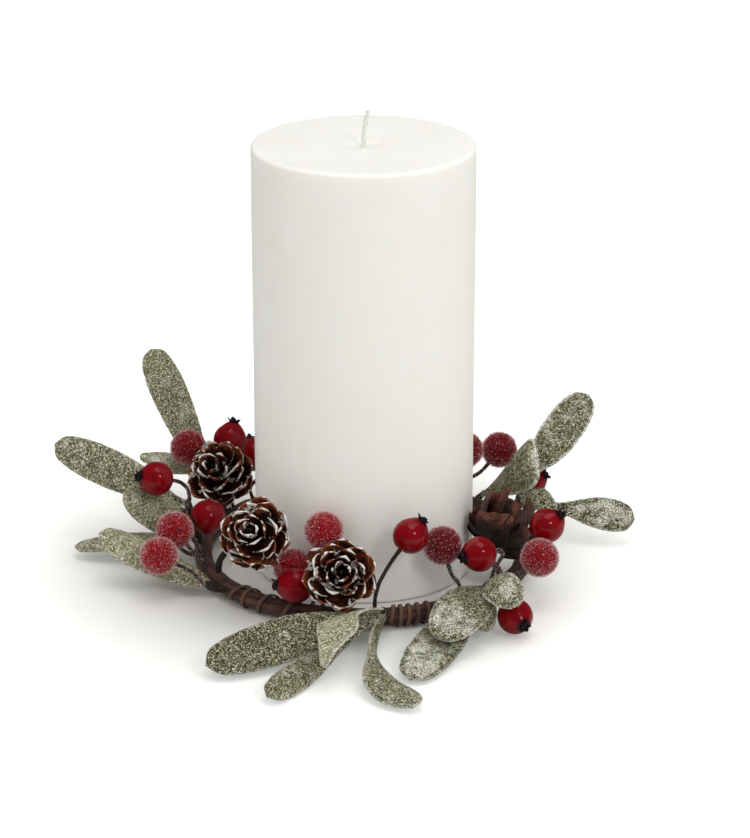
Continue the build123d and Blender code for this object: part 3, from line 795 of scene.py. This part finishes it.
def make_candle(material):
    """The candle, turned from its outline, with soft edges and a shallow dish around the wick."""
    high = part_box("pillar_candle")[1]
    radius, height = high.x, high.z
    edge, wick_hole = 1.2 * MM, 1.12 * MM
    dish_radius, dish_depth = 7 * MM, 0.9 * MM
    slump, ripple = 0.25 * MM, 0.07 * MM
    rows, sides = 60, 144
    outline = [(radius * share, 0.0) for share in (0.4, 0.8, 0.93)]
    outline += rounded_edge(radius, edge, edge, -90)
    outline += [(radius, edge + (height - 2 * edge) * row / rows) for row in range(1, rows)]
    outline += rounded_edge(radius, height - edge, edge, 0)
    for reach in np.linspace(radius - 2 * edge, wick_hole, 40):
        sink = dish_depth * (1 - ease(0.2, 1.0, reach / dish_radius))
        outline.append((reach, height - sink - slump * (1 - ease(0.3, 1.0, reach / radius))))
    points = []
    for reach, level in outline:
        for turn in 2 * np.pi * np.arange(sides) / sides:
            spot = Vector((reach * math.cos(turn), reach * math.sin(turn), level))
            wave = ripple * noise.noise(Vector((spot.x, spot.y, spot.z * 0.35)) * 60)
            outward = Vector((math.cos(turn), math.sin(turn), 0)) * (wave * min(1, reach / radius))
            points.append(spot + outward)
    points += [Vector((0, 0, 0)), Vector((0, 0, height - dish_depth - slump))]
    piece = build("candle_wax", points, skin_faces(len(outline), sides), [material])
    dress(piece, "pillar_candle", "candle")


def make_wick(material):
    """The wick: three cotton strands laid around each other, leaning a little above the wax."""
    low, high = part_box("candle_wick")
    wax_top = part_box("pillar_candle")[1].z
    radius = -low.x
    lean = high.x - radius
    offset, strand_radius = 0.34 * radius, 0.46 * radius
    foot, tip, lay = wax_top - 8 * MM, high.z - 0.3 * MM, 9 * MM
    rows, sides = 150, 10
    strands = []
    for strand in range(3):
        path = []
        for row in range(rows):
            level = foot + (tip - foot) * row / (rows - 1)
            share = max(0.0, (level - wax_top) / (high.z - wax_top))
            turn = 2 * math.pi * strand / 3 + (level - foot) / lay * 2 * math.pi
            path.append((lean * share**1.8 + offset * math.cos(turn), offset * math.sin(turn), level))
        thick = np.full((rows, sides), strand_radius)
        thick[-4:] *= np.array([0.95, 0.85, 0.65, 0.35])[:, None]
        strands.append(tube(path, thick))
    piece = build("wick_strands", *join(strands), [material])
    dress(piece, "candle_wick", "candle")


def make_wrap(node, material):
    """Crepe paper wound around the hoop: low overlapping turns, creases and soft lumps."""
    start, stop = WRAPS[node]
    row_length, sides = 0.42 * MM, 52
    pitch, overlap = 11 * MM, 0.22 * MM
    crease_depth, lump_depth, sunk = 0.2 * MM, 0.25 * MM, 0.32 * MM
    rows = int(math.radians(stop - start) * HOOP_RADIUS / row_length)
    points, ridges = [], []
    for row in range(rows + 1):
        angle = start + (stop - start) * row / rows
        outward = heading(angle)
        along = math.radians(angle) * HOOP_RADIUS
        for side in range(sides):
            turn = 2 * math.pi * side / sides
            ring = Vector((math.cos(turn), math.sin(turn), 0))
            phase = (along / pitch - turn / (2 * math.pi)) % 1.0
            step = overlap * (1 - phase) * ease(0.0, 0.06, phase)
            spot = Vector((outward[0], outward[1], 0)) * 9 + ring * 1.6
            fold = Vector((ring.x * 3.2, ring.y * 3.2, along * 60 - turn * 0.5))
            crease = noise.noise(fold) * crease_depth
            reach = WRAP_RADIUS + step + crease + noise.noise(spot * 1.1) * lump_depth - sunk
            points.append(outward * (HOOP_RADIUS + reach * ring.x) + upward(HOOP_HEIGHT + reach * ring.y))
            # Pale on raised laps and ridges, dark in creases and just below each lap's edge: painted shade
            # and light
            ridges.append(0.45 + (step + 2.4 * crease - 0.1 * MM) / (0.8 * MM))
    points += [heading(angle) * HOOP_RADIUS + upward(HOOP_HEIGHT) for angle in (start, stop)]
    ridges += [0.3, 0.3]
    piece = build(node + "_paper", points, skin_faces(rows + 1, sides), [material], {"ridge": ridges})
    dress(piece, node, "ring")


def make_binding(node, material):
    """A flat strip of bark-like twine wound around the wrap, flat where the ring stands on it."""
    places = BINDINGS[node]
    loops = len(places) - 2
    marks = [-TWINE_TAIL, *(loop + 0.25 for loop in range(loops)), loops + TWINE_TAIL]
    half_width, half_thick, rise, lowest = 0.72 * MM, 0.34 * MM, 0.2 * MM, 0.02 * MM
    turns = np.linspace(marks[0], marks[-1], int(60 * marks[-1]))
    angles = np.radians(np.interp(turns, marks, places))
    around = 2 * np.pi * turns
    rows, sides = len(turns), 16
    outward = np.stack([np.cos(angles), np.sin(angles), np.zeros(rows)], 1)
    radial = outward * np.cos(around)[:, None] + np.outer(np.sin(around), (0, 0, 1.0))
    reach = WRAP_RADIUS + TWINE_CLEARANCE + rise
    path = outward * HOOP_RADIUS + radial * reach + upward(HOOP_HEIGHT)
    across = np.cross(unit(np.gradient(path, axis=0)), radial)
    points, ridges = [], []
    for row in range(rows):
        for side in range(sides):
            turn = 2 * math.pi * side / sides
            fray = 1 + 0.16 * noise.noise(Vector((turns[row] * 4, side * 0.7, places[0])))
            wide, thick = half_width * fray * math.cos(turn), half_thick * math.sin(turn)
            points.append(path[row] + across[row] * wide + radial[row] * thick)
            # The outer face of the strip is paler and the face against the wrap darker, as painted shade,
            # with random pale patches
            paleness = noise.noise(Vector((turns[row] * 2, side * 1.3, places[1])))
            ridges.append(0.35 + 0.3 * math.sin(turn) + 0.3 * paleness)
    faces = grid_faces(rows, sides, True)
    faces += [tuple(reversed(range(sides))), tuple(range((rows - 1) * sides, rows * sides))]
    points = np.array(points)
    points[:, 2] = np.maximum(points[:, 2], lowest)
    piece = build(node + "_strip", points, faces, [material], {"ridge": ridges})
    dress(piece, node, "ring")


def leaf_mesh(leaf):
    """Points, faces and places of a leaf: a thin cupped blade on a bowed midrib, felted and a little wavy."""
    root, twig_heading, twig_rise = TWIGS[leaf.twig]
    foot = heading(root) * HOOP_RADIUS + upward(HOOP_HEIGHT)
    foot = foot + slanted(root + twig_heading, twig_rise) * leaf.place * MM
    chord = slanted(root + leaf.turn, leaf.rise)
    level = unit(np.cross(chord, (0, 0, 1.0)))
    upright = np.cross(level, chord)
    first_roll = math.radians(leaf.roll)
    bow_way = np.cross(level * math.cos(first_roll) + upright * math.sin(first_roll), chord)
    rows, columns = 110, 27
    wave_height, felt_height = 0.35 * MM, 0.07 * MM
    rim_thick, rib_thick = 0.16, 0.34
    tip_start, tip_share = 0.965, 0.035
    shares = np.linspace(0, 1, rows) ** 0.96
    gains = smooth_through(OUTLINES[leaf.outline], shares)
    seed = Vector(foot) * 700
    front, back, share_at, rim_at = [], [], [], []
    for share, gain in zip(shares, gains):
        roll = math.radians(leaf.roll + leaf.twist * share)
        side = level * math.cos(roll) + upright * math.sin(roll)
        spot = foot + chord * (leaf.length * MM * share) + bow_way * (4 * leaf.bow * MM * share * (1 - share))
        way = unit(chord * leaf.length + bow_way * (4 * leaf.bow * (1 - 2 * share)))
        up = np.cross(way, side)
        half = (LEAF_STALK + (leaf.width - LEAF_STALK) * gain) / 2 * MM
        if share > tip_start:
            half *= math.sqrt(max(0.02, 1 - ((share - tip_start) / tip_share) ** 2))
        for column in range(columns):
            across = math.sin(math.pi / 2 * (2 * column / (columns - 1) - 1))
            wave = wave_height * noise.noise(seed + Vector((share * 5, across * 1.3, 0)))
            wave *= ease(0.15, 0.4, share)
            fray = 1 + 0.025 * noise.noise(seed + Vector((share * 40, across * 0.5, 4)))
            nap = Vector((share * leaf.length * 1.1, across * leaf.width * 0.6, 9))
            felt = felt_height * noise.noise(seed + nap)
            middle = spot + side * (half * across * fray) + up * (wave - leaf.cup * half * (1 - across**2))
            edge = math.sqrt(max(0.0, 1 - across**2))
            thick = (rim_thick + rib_thick * edge) * MM
            front.append(middle + up * (thick + felt * edge))
            back.append(middle - up * (thick + felt * edge))
            share_at.append(share)
            rim_at.append(min(half * (1 - abs(across)), (1 - share) * leaf.length * MM))
    points, faces = slab(front, back, rows, columns)
    return points, faces, np.array(share_at * 2), np.array(rim_at * 2)


def make_leaf(node, leaf, materials, rng):
    """A leaf: its felted blade with grains of glitter stuck all over it."""
    points, faces, share, rim = leaf_mesh(leaf)
    probe = build("leaf_probe", points, faces, [])
    area = sum(face.area for face in probe.data.polygons)
    count = int(area / MM**2 * LEAF_GRAINS_PER_MM2)
    spots, normals = sample_surface(probe.data, count, rng)
    bpy.data.objects.remove(probe)
    sizes = rng.uniform(*LEAF_GRAIN, count) * MM
    grain = grains(spots, normals, sizes, 0.45, 0.5, rng)
    tints = np.clip(rng.normal(0.42 + 0.2 * leaf.tone, 0.3, count), 0, 1)
    # The tone drops towards the foot of each blade, a darker olive: painted shade where the leaves meet the
    # twigs
    values = {
        "tone": leaf.tone - 0.5 * (1 - ease(0.08, 0.4, share)),
        "frost": 1.1 * leaf.frost * ease(0.3, 0.75, share) * ease(0.3, 2.6, rim / MM),
        "rim": leaf.rim * (1 - ease(0.1, 0.5 + 0.5 * leaf.rim, rim / MM)),
    }
    piece = build_grained(node + "_blade", (points, faces), grain, tints, materials, values)
    dress(piece, node, "ring")


def make_stems(node, grow, materials, rng):
    """Paper-covered wires, a little knobbly, with crystals on them beside the frosted berries."""
    knob_size, tries = 1.6 * MM, 9000
    wires = bpy.data.objects.new("wires", NODES[node].data.copy())
    bpy.context.scene.collection.objects.link(wires)
    knobs = bpy.data.textures.new("knobs", "CLOUDS")
    knobs.noise_scale = knob_size
    rough = wires.modifiers.new("rough", "DISPLACE")
    rough.texture, rough.texture_coords, rough.mid_level, rough.strength = knobs, "LOCAL", 0.0, 2 * grow
    bpy.context.view_layer.update()
    mesh = bpy.data.meshes.new_from_object(wires.evaluated_get(bpy.context.evaluated_depsgraph_get()))
    bpy.data.objects.remove(wires)
    base = mesh_points(mesh), [tuple(face.vertices) for face in mesh.polygons]
    spots, normals = sample_surface(mesh, tries, rng)
    bpy.data.meshes.remove(mesh)
    near = np.full(len(spots), 1.0)
    for berry in NODES:
        if berry.startswith("frosted_berry"):
            near = np.minimum(near, np.linalg.norm(spots - node_ball(berry)[0], axis=1))
    kept = (near < FROST_FAR) & (near > FROST_NEAR)
    count = kept.sum()
    grain = grains(spots[kept], normals[kept], rng.uniform(*WIRE_CRYSTAL, count) * MM, 1.0, 0.5, rng)
    piece = build_grained(node + "_paper", base, grain, rng.uniform(0.5, 1.0, count), materials)
    dress(piece, node, "ring")


def make_twigs(materials, rng):
    """Short twigs that carry the leaves: tapering, a little knobbly, and sprinkled with glitter."""
    radius, tip_start, tip_share, count = 1.3 * MM, 0.86, 0.14, 900
    rows, sides = 26, 14
    shares = np.linspace(0, 1, rows)
    tip = ((shares - tip_start) / tip_share).clip(0, 1)
    taper = radius * (1.0 - 0.15 * shares) * np.sqrt(np.clip(1 - tip**2, 0.02, 1))
    shapes = []
    for island in node_islands("mistletoe_twigs"):
        middle, axis = main_axis(island)
        along = (island - middle) @ axis
        ends = [middle + axis * along.min(), middle + axis * along.max()]
        first, last = sorted(ends, key=lambda end: abs(np.linalg.norm(end[:2]) - HOOP_RADIUS))
        path = first + np.outer(shares, last - first)
        knobs = np.array([[noise.noise(Vector((row * 0.5, side * 0.6, middle[0] * 900)))
                           for side in range(sides)] for row in range(rows)])
        shapes.append(tube(path, taper[:, None] * (0.95 + 0.16 * knobs)))
    base = join(shapes)
    probe = build("twig_probe", *base, [])
    spots, normals = sample_surface(probe.data, count, rng)
    bpy.data.objects.remove(probe)
    grain = grains(spots, normals, rng.uniform(*TWIG_GRAIN, count) * MM, 0.6, 0.5, rng)
    piece = build_grained("twigs_bark", base, grain, rng.uniform(0.2, 0.9, count), materials)
    dress(piece, "mistletoe_twigs", "ring")


def make_frosted_berry(node, materials, rng):
    """A red ball under a crust of fine upright crystals."""
    middle, radius = node_ball(node)
    core_radius = radius - CRUST
    unevenness, needle_seat, sparkle_seat = 0.1 * MM, 0.22 * MM, 0.15 * MM
    form, faces = ball(32, 48)
    uneven = np.array([noise.noise(Vector(point) * 3 + Vector(middle) * 900) for point in form])
    core = middle + form * (core_radius + unevenness * uneven)[:, None], faces
    normals = unit(rng.normal(size=(NEEDLES, 3)))
    sizes = rng.uniform(*NEEDLE_SIZE, NEEDLES) * MM
    tall = grains(middle + normals * (core_radius + needle_seat), normals, sizes, 8.5, 0.12, rng)
    normals = unit(rng.normal(size=(SPARKLES, 3)))
    spots = middle + normals * (core_radius + sparkle_seat)
    wide = grains(spots, normals, rng.uniform(*SPARKLE_SIZE, SPARKLES) * MM, 1.2, 0.6, rng)
    # Painted shade: some berries take the darker red, and their crystals are less pale
    deep = SHADED_BERRIES.get(node, 0.0)
    pale = rng.uniform(0.35, 1, NEEDLES) * (1 - 0.3 * deep)
    tints = np.concatenate([pale, rng.uniform(0.8, 1, SPARKLES)])
    values = {"deep": np.full(len(form), deep)}
    piece = build_grained(node + "_sugar", core, join([tall, wide]), tints, materials, values)
    smooth = [face < len(faces) for face in range(len(piece.data.polygons))]
    piece.data.polygons.foreach_set("use_smooth", smooth)
    dress(piece, node, "ring")


def crown_axes():
    """The way each glossy berry's crown points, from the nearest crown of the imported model."""
    crowns = [island.mean(0) for island in node_islands("berry_crowns")]
    axes = {}
    for node in NODES:
        if node.startswith("glossy_berry"):
            middle = node_ball(node)[0]
            nearest = min(crowns, key=lambda crown: np.linalg.norm(crown - middle))
            axes[node] = unit(nearest - middle)
    return axes


def make_glossy_berry(node, axis, material):
    """A lacquered ball, drawn up towards its crown and dimpled at the stem."""
    middle, radius = node_ball(node)
    form, faces = ball(40, 56)
    height = form[:, 2]
    neck = 0.15 * np.clip((height - 0.7) / 0.3, 0, 1) ** 2
    stem_dip = 0.05 * ease(-0.93, -1.0, height)
    wave = np.array([noise.noise(Vector(point) * 1.6 + Vector(middle) * 700) for point in form])
    reach = radius * (0.985 + neck - stem_dip + 0.012 * wave)
    points = middle + (form * reach[:, None]) @ turn_to(axis)
    poles = 0.95 * ease(0.86, 1.0, height) + 0.5 * ease(-0.9, -1.0, height)
    piece = build(node + "_lacquer", points, faces, [material], {"pole": poles})
    dress(piece, node, "ring")


def make_crowns(axes, material, rng):
    """Dried crowns of the glossy berries: a dark collar with uneven pointed lobes."""
    lobes, collar_size, collar_rise = 5, (1.35 * MM, 1.35 * MM, 0.75 * MM), 0.15 * MM
    shapes = []
    for node, axis in axes.items():
        middle, radius = node_ball(node)
        turn = turn_to(axis)
        collar, collar_faces = ball(10, 20)
        collar = collar * collar_size + (0, 0, radius + collar_rise)
        shapes.append((middle + collar @ turn, collar_faces))
        for lobe in range(lobes):
            side = 2 * math.pi * (lobe + rng.uniform(-0.15, 0.15)) / lobes
            flare = rng.uniform(0.15, 0.7)
            long = rng.uniform(1.6, 2.5) * MM
            points, faces = crown_lobe(radius, side, flare, long)
            shapes.append((middle + points @ turn, faces))
    piece = build("crowns_calyx", *join(shapes), [material])
    dress(piece, "berry_crowns", "ring")


def crown_lobe(radius, side, flare, long):
    """One pointed lobe of a crown: a bent blade with a thick root."""
    outward, across = sideways(side)
    rows, columns = 7, 5
    root_reach, half_gain, tip_half, root_thick = 0.9 * MM, 1.05 * MM, 0.08 * MM, 0.42 * MM
    front, back = [], []
    for row in range(rows):
        share = row / (rows - 1)
        lean = flare * (0.35 + 0.9 * share)
        spot = outward * (root_reach + long * share * math.sin(lean))
        spot = spot + upward(radius + long * share * math.cos(lean))
        normal = outward * math.cos(lean) - upward(math.sin(lean))
        half = half_gain * (1 - share**2) ** 0.6 + tip_half
        thick = root_thick * (1 - 0.6 * share)
        for column in range(columns):
            place = 2 * column / (columns - 1) - 1
            edge = spot + across * half * place + normal * (0.25 * half * (1 - place**2))
            swell = thick * (1 - 0.7 * place**2)
            front.append(edge + normal * swell)
            back.append(edge - normal * swell)
    return slab(front, back, rows, columns)


def cone_frame(node):
    """Foot, axis and length of a packed cone."""
    points = mesh_points(NODES[node].data)
    middle, axis = main_axis(points)
    along = (points - middle) @ axis
    radial = np.linalg.norm(points - middle - np.outer(along, axis), axis=1)
    near_low = radial[along < along.min() + 0.2 * np.ptp(along)].mean()
    near_high = radial[along > along.max() - 0.2 * np.ptp(along)].mean()
    if near_low < near_high:
        axis, along = -axis, -along
    return middle + axis * along.min(), axis, np.ptp(along)


def make_cone(node, style, material, rng):
    """A cone: rings of cupped scales around a core, spread at the foot and closed at the tip."""
    foot, axis, length = cone_frame(node)
    turn = turn_to(axis)
    shares = np.linspace(0, 1, 14)
    core_foot, core_radius, core_tip = 0.3 * MM, 4.2 * MM, 0.6 * MM
    core_path = np.outer(core_foot + shares * 0.8 * length, (0, 0, 1.0))
    core_rings = np.outer(core_radius * (1 - shares) ** 0.7 + core_tip, np.ones(16))
    core, core_faces = tube(core_path, core_rings)
    shapes = [(foot + core @ turn, core_faces)]
    # The core takes the darkest wood, as painted shade, and no white paint
    reaches, rims = [np.zeros(len(core))], [np.full(len(core), UNPAINTED)]
    for count, ring in enumerate(style.rings):
        first = count * 0.47 + rng.uniform(-0.1, 0.1)
        for number in range(ring[0]):
            side = 2 * math.pi * (number + first + rng.uniform(-0.12, 0.12)) / ring[0]
            points, faces, reach, rim = cone_scale(style, ring, side, rng)
            shapes.append((foot + points @ turn, faces))
            reaches.append(reach)
            rims.append(rim)
    points, faces = join(shapes)
    candle_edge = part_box("pillar_candle")[1].x + CANDLE_GAP
    points[:, :2] *= np.maximum(1, candle_edge / np.hypot(points[:, 0], points[:, 1]))[:, None]
    values = {"reach": np.concatenate(reaches), "rim": np.concatenate(rims)}
    piece = build(node + "_scales", points, faces, [material], values)
    smooth = piece.modifiers.new("smooth", "SUBSURF")
    smooth.levels = smooth.render_levels = 1
    dress(piece, node, "ring")


def cone_scale(style, ring, side, rng):
    """One scale: points, faces, how far along it each point lies, and how far in from the painted rim."""
    tip_reach, tip_height, root_height, width = (value * MM for value in ring[1:])
    tip_reach *= rng.uniform(0.84, 1.01)
    tip_height += rng.normal(0, 1.1) * MM
    width *= rng.uniform(0.84, 1.14)
    rim_width = rng.choice(style.rims, p=style.odds) * MM
    roll, seed = rng.normal(0, 0.28), Vector(rng.uniform(0, 50, 3))
    outward, across = sideways(side)
    root_reach = min(ROOT_REACH, 0.4 * tip_reach)
    root, tip = np.array([root_reach, root_height]), np.array([tip_reach, tip_height])
    corner = root + np.array([style.flat, 0.2]) * (tip - root)
    long = math.hypot(tip_reach - root_reach, tip_height - root_height)
    rows, columns = 13, 11
    front, back, reach, rim = [], [], [], []
    for row in range(rows):
        place = row / (rows - 1)
        half = width / 2 * scale_swell(place, style.torn)
        for column in range(columns):
            beside = 2 * column / (columns - 1) - 1
            tear = style.torn * 0.14 * noise.noise(seed + Vector((beside * 3.4, 0, 0))) * place**3
            share = place * (1 + tear)
            spot = (1 - share) ** 2 * root + 2 * share * (1 - share) * corner + share**2 * tip
            slope = unit(2 * (1 - share) * (corner - root) + 2 * share * (tip - corner))
            normal = upward(slope[0]) - outward * slope[1]
            wave = 0.16 * half * noise.noise(seed + Vector((beside * 1.5, place * 2, 3)))
            lift = style.cup * half * beside**2 + roll * half * beside + wave
            middle = outward * spot[0] + upward(spot[1]) + across * half * beside + normal * lift
            edge = max(0.25, math.sqrt(max(0.0, 1 - beside**2)))
            thick = (0.3 + 0.2 * place) * MM * edge
            front.append(middle + normal * thick)
            back.append(middle - normal * thick)
            # Darker towards the root and in the shorter inner scales: painted shade
            reach.append(place * (0.75 + 0.03 * tip_reach / MM))
            inside = min((1 - abs(beside)) * half * 1.5, (1 - place) * long)
            rim.append(UNPAINTED if style.torn else min(6.0, inside / rim_width))
    points, faces = slab(front, back, rows, columns)
    return points, faces, np.array(reach + reach), np.array(rim + rim)


def scale_swell(place, torn):
    """Share of a scale's width at a place along it: rounded at the tip, or broad to a torn end."""
    if torn:
        return 0.84 + 0.16 * math.sin(math.pi / 2 * min(1, place / 0.4))
    swell = 0.5 + 0.5 * math.sin(math.pi / 2 * min(1, place / 0.6))
    if place > 0.6:
        swell *= math.sqrt(max(0.02, 1 - ((place - 0.6) / 0.4) ** 2))
    return swell


# Stage


def make_floor():
    """A pale floor that runs far past the picture."""
    half, level = 4.0, -0.02 * MM
    corners = [(-half, -half, level), (half, -half, level), (half, half, level), (-half, half, level)]
    floor = build("floor", corners, [(0, 1, 2, 3)], [floor_material()])


def make_world():
    """White surroundings to the camera, soft even light on the object, and dim reflections."""
    world = bpy.data.worlds.new("studio")
    bpy.context.scene.world = world
    nodes = Nodes(world)
    rays = nodes.add("ShaderNodeLightPath").outputs
    strength = nodes.span(rays["Is Glossy Ray"], 0, 1, AMBIENT, REFLECTED)
    strength = nodes.combine("MAXIMUM", strength, rays["Is Camera Ray"])
    nodes.feed(nodes.tree.nodes["Background"].inputs, {"Color": WHITE, "Strength": strength})


def make_lamp(name, place, size, power):
    """A square soft box aimed at the ring."""
    lamp = bpy.data.lights.new(name, "AREA")
    lamp.shape = "SQUARE"
    lamp.size = size
    lamp.energy = power
    holder = bpy.data.objects.new(name, lamp)
    holder.location = place
    holder.rotation_euler = (Vector(LAMP_AIM) - Vector(place)).to_track_quat("-Z", "Y").to_euler()
    bpy.context.scene.collection.objects.link(holder)


def make_camera():
    """The camera of the photograph, which looks along +Y and a little down."""
    camera = bpy.data.cameras.new("camera")
    camera.sensor_width = SENSOR
    camera.sensor_fit = "AUTO"
    camera.lens = FOCAL_PIXELS * SENSOR / max(PHOTO_WIDTH, PHOTO_HEIGHT)
    camera.clip_start, camera.clip_end = 0.01, 20.0
    holder = bpy.data.objects.new("camera", camera)
    holder.location = CAMERA_PLACE
    holder.rotation_euler = (math.radians(90 - CAMERA_PITCH), 0.0, 0.0)
    bpy.context.scene.collection.objects.link(holder)
    bpy.context.scene.camera = holder


bpy.context.scene.view_settings.view_transform = "Standard"
make_camera()
make_world()
make_floor()
make_lamp("top_box", (0.14, -0.08, 1.05), 0.6, 2.3)
make_lamp("right_box", (0.55, -0.85, 0.75), 0.25, 2.5)

make_candle(wax_material())
make_wick(wick_material())
paper = paper_material("hoop_paper", (27, 10, 7), (57, 25, 17), (90, 47, 33))
twine = paper_material("binding_twine", (34, 19, 13), (68, 43, 30), (106, 73, 53))
for node in WRAPS:
    make_wrap(node, paper)
for node in BINDINGS:
    make_binding(node, twine)

NODES["hoop_wire"].data.materials.clear()
NODES["hoop_wire"].data.materials.append(steel_material())
stem = stem_material()
crystal = crystal_material()
make_stems("berry_wires", 0.16 * MM, [stem, crystal], np.random.default_rng(60))
make_stems("cone_wires", 0.3 * MM, [stem, crystal], np.random.default_rng(61))

blade = leaf_material()
glitter = glitter_material()
for count, (name, leaf) in enumerate(LEAVES.items()):
    make_leaf("leaf_" + name, leaf, [blade, glitter], np.random.default_rng(100 + count))
make_twigs([stem, glitter], np.random.default_rng(50))

core = frosted_core_material()
frosted = sorted(node for node in NODES if node.startswith("frosted_berry"))
for count, node in enumerate(frosted):
    make_frosted_berry(node, [core, crystal], np.random.default_rng(200 + count))

lacquer = lacquer_material()
axes = crown_axes()
for node, axis in axes.items():
    make_glossy_berry(node, axis, lacquer)
make_crowns(axes, crown_material(), np.random.default_rng(300))

cone_materials = {
    "painted": cone_material("painted_cone", (30, 12, 7), (74, 34, 19), (138, 74, 42), 0.32),
    "plain": cone_material("plain_cone", (22, 8, 4), (60, 27, 15), (106, 54, 32), 0.65),
}
for count, (node, style) in enumerate(CONES.items()):
    make_cone(node, CONE_STYLES[style], cone_materials[style], np.random.default_rng(400 + count))
